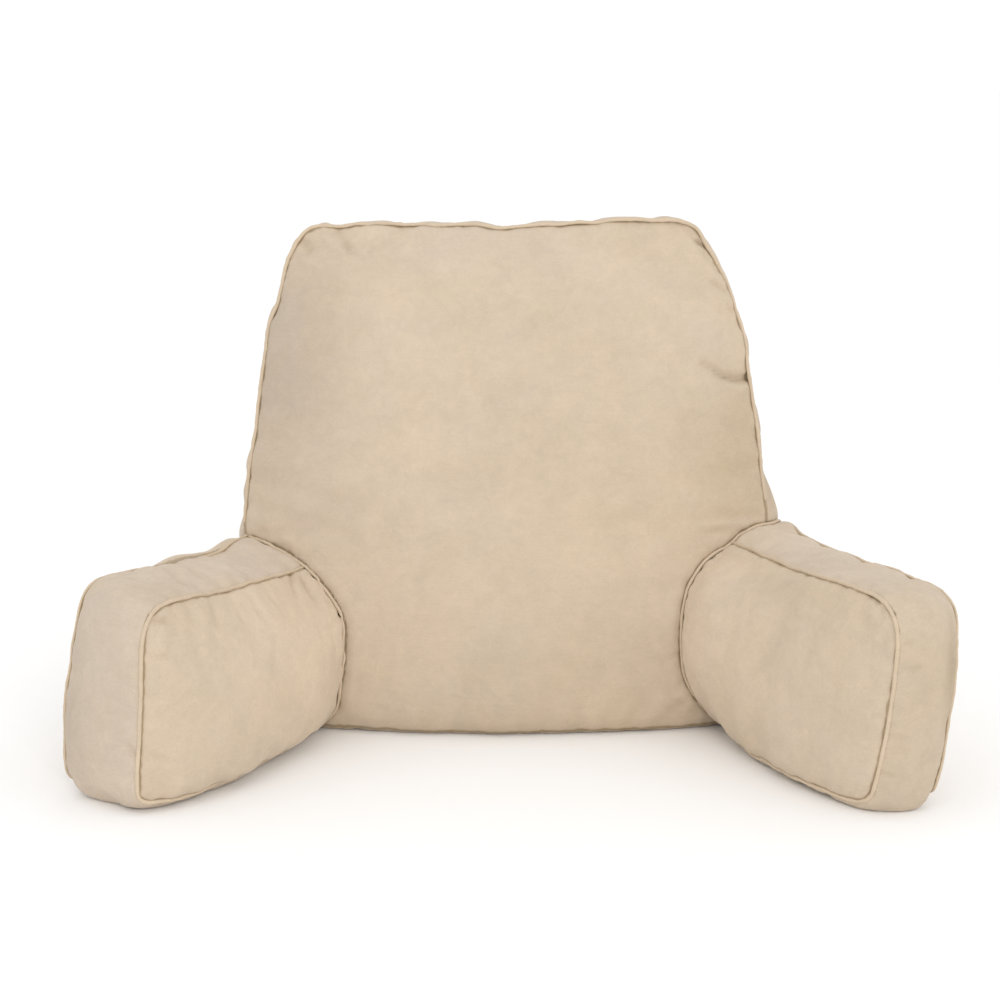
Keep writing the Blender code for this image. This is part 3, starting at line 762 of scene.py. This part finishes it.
Seam = namedtuple("Seam", "groove groove_width roll roll_width gathers spacing size reach")
EDGE_SEAM = Seam(0.0010, 0.0028, 0.0010, 0.012, 0.0010, 0.015, 0.0040, 0.028)
RING_SEAM = Seam(0.0016, 0.0040, 0.0012, 0.014, 0.0013, 0.016, 0.0045, 0.042)
CALM_SEAM = EDGE_SEAM._replace(gathers=0.0003)  # the arms' outer seams are smoother
FAR = 0.020                             # the gap written where no seam is near


# Where the cloth lies smooth: beside the outer top seam of each arm.
CALM_BANDS = {
    "arm_left": ((-0.226, 0.085, 0.150), (-0.250, 0.028, 0.152), (-0.274, -0.040, 0.154), (-0.298, -0.098, 0.158), (-0.330, -0.145, 0.160)),
    "arm_right": ((0.284, 0.090, 0.152), (0.306, 0.010, 0.152), (0.330, -0.070, 0.154), (0.352, -0.130, 0.156), (0.376, -0.190, 0.150)),
}


def calmed(mesh, co, panel, band):
    """Smooth the outer panel along a band, leaving its seams where they are."""
    line = Line(smoothed(resampled(np.array(band, float), 0.004), False, 6))
    index, d, _ = line.measure(co, 0.060)
    weight = np.zeros(len(co))
    weight[index] = np.exp(-((d / 0.026) ** 2)) * (panel[index] == PANEL_B)
    edges = np.empty(len(mesh.edges) * 2, np.int32)
    mesh.edges.foreach_get("vertices", edges)
    a, b = edges.reshape(-1, 2).T
    mixed = np.zeros(len(co), bool)          # points where two panels meet stay put
    mixed[a[panel[a] != panel[b]]] = mixed[b[panel[a] != panel[b]]] = True
    weight[mixed] = 0.0
    degree = np.bincount(a, minlength=len(co)) + np.bincount(b, minlength=len(co))
    out = co.copy()
    for _ in range(90):
        near = np.stack([
            np.bincount(a, out[b, k], len(co)) + np.bincount(b, out[a, k], len(co)) for k in range(3)
        ], 1) / degree[:, None]
        out += (near - out) * (0.7 * weight)[:, None]
    return out


def work_seams(obj, piece, lines, seed):
    """lines: (Line, Seam, kind) rows. Returns each point's gap to the edge seams, its gap to the rings and its fold. A
    gap to an edge seam is above 0 on the side where its line of painted shade lies: the panel's side of an "edge", the
    boxing's side of a "turned" edge."""
    mesh = obj.data
    panel = panel_of_vertices(mesh)
    if piece in CALM_BANDS:
        set_coords(mesh, calmed(mesh, coords(mesh), panel, CALM_BANDS[piece]))
    co, no = coords(mesh), normals(mesh)
    move = np.zeros(len(co))
    gaps = {True: np.full(len(co), FAR), False: np.full(len(co), FAR)}
    lined = np.where(panel == GUSSET, -1.0, 1.0)
    for k, (line, seam, kind) in enumerate(lines):
        is_ring = kind == "ring"
        index, d, s = line.measure(co, max(seam.reach, seam.roll_width * 3))
        if not len(index):
            continue
        plain = (panel[index] == GUSSET) != (kind == "turned")
        groove = seam.groove * np.exp(-((d / seam.groove_width) ** 2))
        move[index] -= groove * np.where(plain & (d > 0.001) & (not is_ring), 0.3, 1.0)
        q = d / seam.roll_width
        move[index] += seam.roll * q * q * np.exp(1 - q * q)
        ragged = 0.00030 * wander(s, line.length, seed + 40 + k, 0.013, line.closed)
        signed = d + ragged * (d > 0.0009)
        near = signed < gaps[is_ring][index]
        gaps[is_ring][index[near]] = signed[near]
        if not is_ring:
            lined[index[near]] = np.where(plain[near], -1.0, 1.0)
        for side in (PANEL_A, GUSSET, PANEL_B):
            mine = panel[index] == side
            move[index[mine]] += gather_field(
                index[mine], d[mine], s[mine], line.length, seed + 10 * k + side,
                seam.spacing, seam.gathers, seam.reach, seam.size, line.closed,
            )
    folded, fold = creased(co, no, piece)
    set_coords(mesh, co + no * move[:, None] + folded)
    return np.minimum(gaps[False], FAR) * lined, np.minimum(gaps[True], FAR), fold


ring_lines = {name: Line(points, True) for name, points in rings.items()}
seam_lines = {
    owner: {key: Line(points, True) for key, points in paths.items()}
    for owner, paths in seam_paths.items()
}
nearness = {}
nearness["back"] = work_seams(
    back, "back",
    [(seam_lines["back"]["a"], EDGE_SEAM, "edge"), (seam_lines["back"]["b"], EDGE_SEAM, "edge"),
     (ring_lines["left"], RING_SEAM, "ring"), (ring_lines["right"], RING_SEAM, "ring")],
    100,
)
for n, name in enumerate(("left", "right")):
    obj = arms[name][1]
    nearness["arm_" + name] = work_seams(
        obj, "arm_" + name,
        [(seam_lines[name]["a"], EDGE_SEAM, "edge"), (seam_lines[name]["b"], CALM_SEAM, "turned"),
         (ring_lines[name], RING_SEAM, "ring")],
        200 + 100 * n,
    )


# ----------------------------------------------------------------------------
# Piping
# ----------------------------------------------------------------------------
def tree_of(mesh):
    co = coords(mesh)
    return BVHTree.FromPolygons(
        [Vector(p) for p in co], [tuple(p.vertices) for p in mesh.polygons]
    )


def inside(tree, point, reach=0.03):
    near, normal, _, gap = tree.find_nearest(point)
    return gap < reach and (Vector(point) - near).dot(normal) < 0


def longest_run(points, flags, closed=True):
    count = len(points)
    if all(flags):
        return points
    start = next(n for n in range(count) if not flags[n])
    best, run = [], []
    for n in range(1, count + 1):
        k = (start + n) % count
        if flags[k]:
            run.append(points[k])
        else:
            best = max(best, run, key=len)
            run = []
    return np.array(max(best, run, key=len))


def tube(name, points, radius, seed, sides=16, closed=False):
    """A tube whose cloth is a little uneven, with rounded ends."""
    points = np.asarray(points, float)
    count = len(points)
    tangent = np.gradient(points, axis=0)
    tangent /= np.linalg.norm(tangent, axis=1)[:, None]
    side = np.cross(tangent[0], (0.3, 0.2, 0.93))
    side /= np.linalg.norm(side)
    frames = []
    for t in tangent:
        side = side - t * side.dot(t)
        side /= np.linalg.norm(side)
        frames.append((side, np.cross(t, side)))
    s = np.concatenate([[0], np.cumsum(np.linalg.norm(np.diff(points, axis=0), axis=1))])
    length = s[-1]
    thick = radius * (1 + 0.035 * wander(s, length, seed, 0.016, False) + 0.02 * wander(s, length, seed + 1, 0.006, False))
    end = np.minimum(s, length - s)
    cap = np.clip(end / radius, 0, 1)
    thick = thick * np.sqrt(np.clip(1 - (1 - cap) ** 2, 0.06, 1))
    turn = np.arange(sides) * 2 * math.pi / sides
    verts = []
    for k in range(count):
        u, v = frames[k]
        ripple = 1 + 0.02 * np.sin(turn * 3 + s[k] * 900) + 0.015 * np.sin(turn * 2 - s[k] * 410 + seed)
        verts.append(points[k] + (np.cos(turn)[:, None] * u + np.sin(turn)[:, None] * v) * (thick[k] * ripple)[:, None])
    verts = np.concatenate(verts)
    faces = []
    for k in range(count - 1):
        for m in range(sides):
            n = (m + 1) % sides
            faces.append((k * sides + m, k * sides + n, (k + 1) * sides + n, (k + 1) * sides + m))
    faces.append(tuple(range(sides - 1, -1, -1)))
    faces.append(tuple((count - 1) * sides + m for m in range(sides)))
    mesh = bpy.data.meshes.new(name)
    mesh.from_pydata(verts.tolist(), [], faces)
    mesh.update()
    mesh.shade_smooth()
    obj = bpy.data.objects.new(name, mesh)
    bpy.context.scene.collection.objects.link(obj)
    return obj


back_tree = tree_of(back.data)
arm_trees = {name: tree_of(obj.data) for name, (_, obj, _) in arms.items()}

pipings = []
piping_paths = {}
dark_side = {}


def unit(rows):
    return rows / np.linalg.norm(rows, axis=1)[:, None]


def add_piping(name, rows, seed, radius, proud, sunk, sway, sides=16):
    """Piping along a seam. rows: point, which way the panel faces, which way the
    boxing faces. It stands proud of the panel and is flush with the boxing."""
    rows = resampled(rows, 0.0012)
    points = smoothed(rows[:, :3], False, 10)
    panel, boxing = unit(smoothed(rows[:, 3:6], False, 20)), unit(smoothed(rows[:, 6:], False, 20))
    s = np.concatenate([[0], np.cumsum(np.linalg.norm(np.diff(points, axis=0), axis=1))])
    length = s[-1]
    swing = sway * wander(s, length, seed + 3, 0.045, False) + 0.25 * sway * wander(s, length, seed + 4, 0.014, False)
    centre = points + panel * proud - boxing * (sunk + swing)[:, None]
    centre[:, 2] = np.maximum(centre[:, 2], radius + 0.0002)
    obj = tube(name, centre, radius, seed, sides)
    co = coords(obj.data).reshape(len(centre), sides, 3)
    turned = (co - centre[:, None]) / radius
    towards = -(turned * boxing[:, None]).sum(2)
    up = (turned * panel[:, None]).sum(2)
    # Painted shade on the side of the tube that meets the boxing.
    dark_side[name] = np.clip((towards - 0.45) / 0.3, 0, 1).ravel() * np.clip((0.55 - up) / 0.3, 0, 1).ravel()
    pipings.append(obj)
    piping_paths[name] = centre


def facing_of(tree, points):
    out = []
    for p in points:
        _, normal, _, _ = tree.find_nearest(p)
        out.append(normal)
    return np.array(out)


for n, name in enumerate(("left", "right")):
    ring = rings[name]
    rows = np.hstack([ring, smoothed(facing_of(back_tree, ring), True, 40), smoothed(facing_of(arm_trees[name], ring), True, 40)])
    run = longest_run(rows, [p[2] > 0.004 for p in ring])
    add_piping("joint_piping_" + name, run, 900 + n, radius=0.0015, proud=0.0007, sunk=-0.0007, sway=0.00015, sides=12)
    dark_side["joint_piping_" + name][:] = 0.0
    for key, label in (("a", "inner"), ("b", "outer")):
        rows = resampled(seam_table[name][key], 0.0015, True)
        flags = []
        for p in rows[:, :3]:
            _, _, d = ring_lines[name].tree.find(p)
            flags.append(not inside(back_tree, p) and d > 0.0018)
        run = np.array(longest_run(rows, flags))
        if key == "b":
            run = run[:, [0, 1, 2, 6, 7, 8, 3, 4, 5]]
        add_piping("arm_%s_%s_piping" % (name, label), run, 920 + 10 * n + (key == "b"),
                   radius=0.0017, proud=0.0004, sunk=0.0012, sway=0.00025)

for key, label in (("a", "front"), ("b", "rear")):
    rows = resampled(seam_table["back"][key], 0.0015, True)
    flags = []
    for p in rows[:, :3]:
        ok = p[2] > 0.008
        for name in arms:
            _, _, d = ring_lines[name].tree.find(p)
            ok = ok and not inside(arm_trees[name], p) and d > 0.0018
        flags.append(ok)
    run = longest_run(rows, flags)
    add_piping("back_%s_piping" % label, run, 960 + (key == "b"),
               radius=0.0018, proud=0.0004, sunk=0.0012, sway=0.00035)


# ----------------------------------------------------------------------------
# The floor flattens what rests on it
# ----------------------------------------------------------------------------
for obj in [back] + [entry[1] for entry in arms.values()]:
    set_coords(obj.data, flattened(coords(obj.data)))

# ----------------------------------------------------------------------------
# Materials
# ----------------------------------------------------------------------------
# Painted shade and painted light, partly the nap's own tone too: soft zones where the cloth is darkened where it turns
# from the light, at its foot by the floor and at its silhouettes, and lightened where it lies in the joints' shade.
# Centre, radii and how the colour changes.
PaintedShading = namedtuple("PaintedShading", "x y z across deep high red green blue")
# On the back: painted shade towards its left and right edges and at its foot, painted light at its top and middle.
BACK_PAINTED_SHADING = (
    PaintedShading(-0.205, 0.030, 0.330, 0.115, 0.300, 0.190, 0.845, 0.852, 0.880),
    PaintedShading(0.225, 0.030, 0.250, 0.080, 0.300, 0.115, 0.870, 0.862, 0.815),
    PaintedShading(0.140, 0.000, 0.200, 0.170, 0.300, 0.170, 0.985, 0.982, 0.950),
    PaintedShading(-0.040, 0.060, 0.430, 0.200, 0.300, 0.080, 1.025, 1.035, 1.060),
    PaintedShading(-0.080, 0.020, 0.300, 0.095, 0.300, 0.140, 1.035, 1.035, 1.035),
    PaintedShading(0.060, -0.050, 0.050, 0.210, 0.300, 0.150, 0.935, 0.931, 0.912),
    PaintedShading(0.010, -0.040, 0.000, 0.400, 0.300, 0.032, 0.880, 0.868, 0.840),
)
# On the arms: painted light on the inner panels, mostly beside the joints where the valley's shade falls.
ARM_PAINTED_LIGHT = (
    PaintedShading(-0.180, -0.090, 0.115, 0.140, 0.150, 0.130, 1.095, 1.095, 1.090),
    PaintedShading(0.185, -0.060, 0.095, 0.090, 0.120, 0.140, 1.080, 1.080, 1.075),
    PaintedShading(-0.158, -0.078, 0.085, 0.055, 0.065, 0.065, 1.055, 1.055, 1.055),
    PaintedShading(0.205, -0.035, 0.155, 0.045, 0.055, 0.035, 1.070, 1.070, 1.070),
    PaintedShading(0.250, -0.170, 0.060, 0.090, 0.120, 0.070, 1.035, 1.035, 1.045),
)
# On the boxing: painted shade at the silhouettes and on the right arm's front, painted light beside the joints.
BOXING_PAINTED_SHADING = (
    PaintedShading(0.345, -0.250, 0.095, 0.105, 0.120, 0.170, 0.935, 0.905, 0.845),
    PaintedShading(0.240, -0.010, 0.180, 0.090, 0.120, 0.060, 1.110, 1.110, 1.110),
    PaintedShading(-0.220, -0.040, 0.170, 0.080, 0.110, 0.050, 1.070, 1.075, 1.085),
    PaintedShading(0.262, 0.080, 0.210, 0.060, 0.120, 0.100, 0.900, 0.860, 0.800),
    PaintedShading(-0.360, -0.195, 0.080, 0.045, 0.080, 0.130, 0.885, 0.870, 0.860),
    PaintedShading(0.364, -0.234, 0.115, 0.016, 0.030, 0.080, 0.830, 0.810, 0.770),
    PaintedShading(0.248, 0.055, 0.210, 0.045, 0.060, 0.065, 0.950, 0.940, 0.920),
)


def microsuede(name, colour, grain=(1.0, 1.0, 5.0), seed=0.0, sheen=0.25, is_piping=False, painted_zones=()):
    material = bpy.data.materials.new(name)
    material.use_nodes = True
    nodes, links = material.node_tree.nodes, material.node_tree.links
    shader = nodes["Principled BSDF"]
    shader.inputs["Roughness"].default_value = 0.92
    shader.inputs["Specular IOR Level"].default_value = 0.25
    shader.inputs["Sheen Weight"].default_value = sheen
    shader.inputs["Sheen Roughness"].default_value = 0.45
    shader.inputs["Sheen Tint"].default_value = (1.0, 0.93, 0.82, 1.0)
    where = nodes.new("ShaderNodeTexCoord")

    def mapping(scale, offset=0.0):
        node = nodes.new("ShaderNodeMapping")
        node.inputs["Scale"].default_value = scale
        node.inputs["Location"].default_value = (offset, offset * 0.7, offset * 1.3)
        links.new(where.outputs["Object"], node.inputs["Vector"])
        return node.outputs["Vector"]

    def noise(vector, scale, detail, rough=0.55, distortion=0.0):
        node = nodes.new("ShaderNodeTexNoise")
        node.inputs["Scale"].default_value = scale
        node.inputs["Detail"].default_value = detail
        node.inputs["Roughness"].default_value = rough
        node.inputs["Distortion"].default_value = distortion
        links.new(vector, node.inputs["Vector"])
        return node.outputs["Fac"]

    def ramp(value, low, high, dark_end, light_end):
        node = nodes.new("ShaderNodeMapRange")
        node.inputs["From Min"].default_value = low
        node.inputs["From Max"].default_value = high
        node.inputs["To Min"].default_value = dark_end
        node.inputs["To Max"].default_value = light_end
        links.new(value, node.inputs["Value"])
        return node.outputs["Result"]

    # Multiplies a layer of painted shade or painted light into the colour.
    def shaded_with(colour, painted_layer):
        node = nodes.new("ShaderNodeMix")
        node.data_type = "RGBA"
        node.blend_type = "MULTIPLY"
        node.inputs[0].default_value = 1.0
        links.new(colour, node.inputs[6])
        links.new(painted_layer, node.inputs[7])
        return node.outputs[2]

    def product(a, b):
        node = nodes.new("ShaderNodeMath")
        node.operation = "MULTIPLY"
        links.new(a, node.inputs[0])
        links.new(b, node.inputs[1])
        return node.outputs[0]

    def line_ramp(name, stops):
        """Shade by an attribute, from a short list of stops in thousandths."""
        node = nodes.new("ShaderNodeAttribute")
        node.attribute_name = name
        low, high = stops[0][0], stops[-1][0]
        scaled = ramp(node.outputs["Fac"], low / 1000, high / 1000, 0.0, 1.0)
        colours = nodes.new("ShaderNodeValToRGB")
        colours.color_ramp.interpolation = "LINEAR"
        points = colours.color_ramp.elements
        for k, (gap, level) in enumerate(stops):
            at = (gap - low) / (high - low)
            if 0 < k < len(stops) - 1:
                point = points.new(at)
            else:
                point = points[0 if k == 0 else len(points) - 1]
                point.position = at
            point.color = (level ** 0.86, level, level ** 1.3, 1.0)
        links.new(scaled, colours.inputs["Fac"])
        return colours.outputs["Color"]

    # A soft zone of painted shade (factors below 1) or painted light (above 1), multiplied into the colour.
    def painted_zone(zone):
        centre = TABLE_ORIGIN + (zone.x, zone.y, zone.z)
        radii = np.array((zone.across, zone.deep, zone.high))
        node = nodes.new("ShaderNodeMapping")
        node.inputs["Scale"].default_value = 1 / radii
        node.inputs["Location"].default_value = -centre / radii
        links.new(where.outputs["Object"], node.inputs["Vector"])
        away = nodes.new("ShaderNodeVectorMath")
        away.operation = "LENGTH"
        links.new(node.outputs["Vector"], away.inputs[0])
        amount = nodes.new("ShaderNodeMapRange")
        amount.interpolation_type = "SMOOTHSTEP"
        amount.inputs["To Min"].default_value = 1.0
        amount.inputs["To Max"].default_value = 0.0
        links.new(away.outputs["Value"], amount.inputs["Value"])
        change = nodes.new("ShaderNodeMix")
        change.data_type = "RGBA"
        change.inputs[6].default_value = (1.0, 1.0, 1.0, 1.0)
        change.inputs[7].default_value = (zone.red, zone.green, zone.blue, 1.0)
        links.new(amount.outputs["Result"], change.inputs[0])
        return change.outputs[2]

    even = mapping((1.0, 1.0, 1.0), seed)
    streak = mapping(grain, seed + 3.0)
    fibre = mapping((grain[0], grain[1], grain[2] * 0.6), seed + 6.0)
    blotch = ramp(noise(even, 17.0, 4.0, 0.6, 0.4), 0.30, 0.70, 0.954, 1.043)
    cloud = ramp(noise(even, 5.5, 2.0, 0.5), 0.3, 0.7, 0.985, 1.015)
    fleck = ramp(noise(even, 85.0, 4.0, 0.65, 0.8), 0.30, 0.70, 0.960, 1.041)
    streaks = ramp(noise(streak, 60.0, 3.0, 0.65), 0.25, 0.75, 0.985, 1.015)
    fibres = ramp(noise(fibre, 320.0, 2.0, 0.7), 0.25, 0.75, 0.968, 1.032)
    speck = ramp(noise(even, 800.0, 2.0, 0.6), 0.2, 0.8, 0.950, 1.050)
    shade = product(product(product(blotch, cloud), product(streaks, speck)), product(fibres, fleck))

    if is_piping:
        # Painted shade on the piping's side that meets the boxing.
        painted_light_and_shade = [line_ramp("dark_side", ((0.0, 1.0), (1000.0, 0.62)))]
    else:
        # Painted shade: a dark line in the crevice along the edge seams where the piping meets the cloth, darker on one
        # side than the other.
        line = line_ramp("edge_gap", (
            (-6.0, 1.0), (-1.6, 1.0), (-1.0, 0.88), (0.0, 0.64), (2.6, 0.56), (3.3, 0.56), (4.2, 0.93), (6.0, 1.0)))
        beside = nodes.new("ShaderNodeAttribute")
        beside.attribute_name = "beside_edge"
        seam_shade_mix = nodes.new("ShaderNodeMix")
        seam_shade_mix.data_type = "RGBA"
        seam_shade_mix.inputs[6].default_value = (1.0, 1.0, 1.0, 1.0)
        links.new(beside.outputs["Fac"], seam_shade_mix.inputs[0])
        links.new(line, seam_shade_mix.inputs[7])
        edge = seam_shade_mix.outputs[2]
        # Painted shade in the valley of each joint, and painted light on the cloth from about 3 to 18 mm away from it.
        ring = line_ramp("ring_gap", ((0.0, 0.55), (1.9, 0.55), (2.9, 0.97), (5.0, 1.06), (10.0, 1.06), (18.0, 1.0)))
        # Painted shade in the creases' troughs and a painted highlight on their ridges.
        fold = line_ramp("fold", ((-1000.0, 1.07), (0.0, 1.0), (500.0, 0.93), (1000.0, 0.83)))
        painted_light_and_shade = [edge, ring, fold] + [painted_zone(zone) for zone in painted_zones]

    tint = nodes.new("ShaderNodeMix")
    tint.data_type = "RGBA"
    warm = (colour[0] * 1.006, colour[1] * 0.999, colour[2] * 0.978, 1.0)
    cool = (colour[0] * 0.996, colour[1] * 0.997, colour[2] * 1.022, 1.0)
    tint.inputs[6].default_value = cool
    tint.inputs[7].default_value = warm
    links.new(ramp(noise(even, 14.0, 5.0, 0.65, 0.5), 0.35, 0.65, 0.0, 1.0), tint.inputs[0])
    grey = nodes.new("ShaderNodeVectorMath")
    grey.operation = "SCALE"
    links.new(tint.outputs[2], grey.inputs[0])
    links.new(shade, grey.inputs["Scale"])
    cloth_colour = grey.outputs["Vector"]
    # The cloth's colour with its painted shade and painted light multiplied in.
    for painted_layer in painted_light_and_shade:
        cloth_colour = shaded_with(cloth_colour, painted_layer)
    links.new(cloth_colour, shader.inputs["Base Color"])

    pile = nodes.new("ShaderNodeBump")
    pile.inputs["Strength"].default_value = 0.35
    pile.inputs["Distance"].default_value = 0.00035
    links.new(noise(even, 1500.0, 2.0, 0.6), pile.inputs["Height"])
    wrinkle = nodes.new("ShaderNodeBump")
    wrinkle.inputs["Strength"].default_value = 0.3
    wrinkle.inputs["Distance"].default_value = 0.0007
    links.new(noise(streak, 70.0, 3.0, 0.5, 0.3), wrinkle.inputs["Height"])
    links.new(pile.outputs["Normal"], wrinkle.inputs["Normal"])
    links.new(wrinkle.outputs["Normal"], shader.inputs["Normal"])
    return material


BASE = (0.580, 0.474, 0.357)
SIDE = (0.570, 0.475, 0.372)
back_cloth = microsuede("back_microsuede", BASE, seed=0.0, painted_zones=BACK_PAINTED_SHADING)
side_cloth = microsuede("boxing_microsuede", SIDE, seed=5.0, sheen=0.12, painted_zones=BOXING_PAINTED_SHADING)
arm_cloth = microsuede("arm_microsuede", BASE, grain=(1.0, 1.0, 3.0), seed=9.0, painted_zones=ARM_PAINTED_LIGHT)
piping_cloth = microsuede("piping_microsuede", (0.600, 0.486, 0.355), grain=(4.0, 4.0, 4.0), seed=13.0, sheen=0.12, is_piping=True)


def finish_cushion(obj, cloths, gaps):
    mesh = obj.data
    slots = np.empty(len(mesh.polygons), np.int32)
    mesh.polygons.foreach_get("material_index", slots)
    slots[slots == CUT] = 1
    mesh.materials.clear()
    for cloth in cloths:
        mesh.materials.append(cloth)
    mesh.polygons.foreach_set("material_index", slots)
    # The strip beside the edge seams where their line of painted shade is laid.
    beside = np.clip((0.012 - np.abs(gaps[0])) / 0.004, 0, 1)
    for layer_name, values in zip(("edge_gap", "ring_gap", "fold", "beside_edge"), gaps + (beside,)):
        layer = mesh.attributes.new(layer_name, "FLOAT", "POINT")
        layer.data.foreach_set("value", values.astype(np.float32))
    obj.vertex_groups.clear()
    mesh.shade_smooth()


finish_cushion(back, (back_cloth, side_cloth, back_cloth), nearness["back"])
for name, (_, obj, _) in arms.items():
    finish_cushion(obj, (arm_cloth, side_cloth, arm_cloth), nearness["arm_" + name])
for obj in pipings:
    obj.data.materials.append(piping_cloth)
    layer = obj.data.attributes.new("dark_side", "FLOAT", "POINT")
    layer.data.foreach_set("value", dark_side[obj.name].astype(np.float32))

# ----------------------------------------------------------------------------
# Into the frame, and what each piece stands for
# ----------------------------------------------------------------------------
pieces = [back] + [entry[1] for entry in arms.values()] + pipings
for obj in pieces:
    set_coords(obj.data, coords(obj.data) + TABLE_ORIGIN)
    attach(obj, "root")

back.name = "back_cover"
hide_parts("back_cushion")
for name, (_, obj, _) in arms.items():
    obj.name = "arm_cover_" + name
    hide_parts("arm_" + name)
stands_for = {
    "joint_piping_left": "piping_left_joint",
    "joint_piping_right": "piping_right_joint",
    "arm_left_inner_piping": "piping_left_inner",
    "arm_left_outer_piping": "piping_left_outer",
    "arm_right_inner_piping": "piping_right_inner",
    "arm_right_outer_piping": "piping_right_outer",
    "back_front_piping": "piping_back_front",
    "back_rear_piping": "piping_back_rear",
}
for obj in pipings:
    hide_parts(stands_for[obj.name])

# ----------------------------------------------------------------------------
# Floor, light and camera
# ----------------------------------------------------------------------------
floor_mesh = bpy.data.meshes.new("floor")
half = 60.0
floor_mesh.from_pydata([(-half, -half, 0), (half, -half, 0), (half, half, 0), (-half, half, 0)], [], [(0, 1, 2, 3)])
floor = bpy.data.objects.new("floor", floor_mesh)
bpy.context.scene.collection.objects.link(floor)
floor_paint = bpy.data.materials.new("floor_pale")
floor_paint.use_nodes = True
paint = floor_paint.node_tree.nodes["Principled BSDF"]
paint.inputs["Base Color"].default_value = (0.97, 0.97, 0.97, 1.0)
paint.inputs["Roughness"].default_value = 0.95
paint.inputs["Specular IOR Level"].default_value = 0.1
floor_mesh.materials.append(floor_paint)

world = bpy.data.worlds.new("studio")
bpy.context.scene.world = world
world.use_nodes = True
world.node_tree.nodes["Background"].inputs["Color"].default_value = (1.0, 1.0, 1.0, 1.0)
world.node_tree.nodes["Background"].inputs["Strength"].default_value = 1.04


def soft_light(name, at, aim, size, power, colour=(1.0, 0.98, 0.95)):
    data = bpy.data.lights.new(name, "AREA")
    data.shape = "RECTANGLE"
    data.size, data.size_y = size
    data.energy = power
    data.color = colour
    light = bpy.data.objects.new(name, data)
    light.location = at
    light.rotation_euler = (Vector(aim) - Vector(at)).to_track_quat("-Z", "Y").to_euler()
    bpy.context.scene.collection.objects.link(light)
    return light


soft_light("key", (0.55, -2.8, 1.35), (0, 0.0, 0.22), (0.9, 0.7), 17, (1.0, 0.99, 0.97))

camera_data = bpy.data.cameras.new("camera")
camera_data.lens = 75.6
camera_data.sensor_width = 36.0
camera = bpy.data.objects.new("camera", camera_data)
camera.location = (TABLE_ORIGIN[0], -1.86 + TABLE_ORIGIN[1], 0.59)
camera.rotation_euler = (math.radians(90 - 11.6), 0, 0)
bpy.context.scene.collection.objects.link(camera)
bpy.context.scene.camera = camera
bpy.context.scene.view_settings.view_transform = "Standard"

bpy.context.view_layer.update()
for obj in pieces:
    print(obj.name, len(obj.data.polygons), "faces")
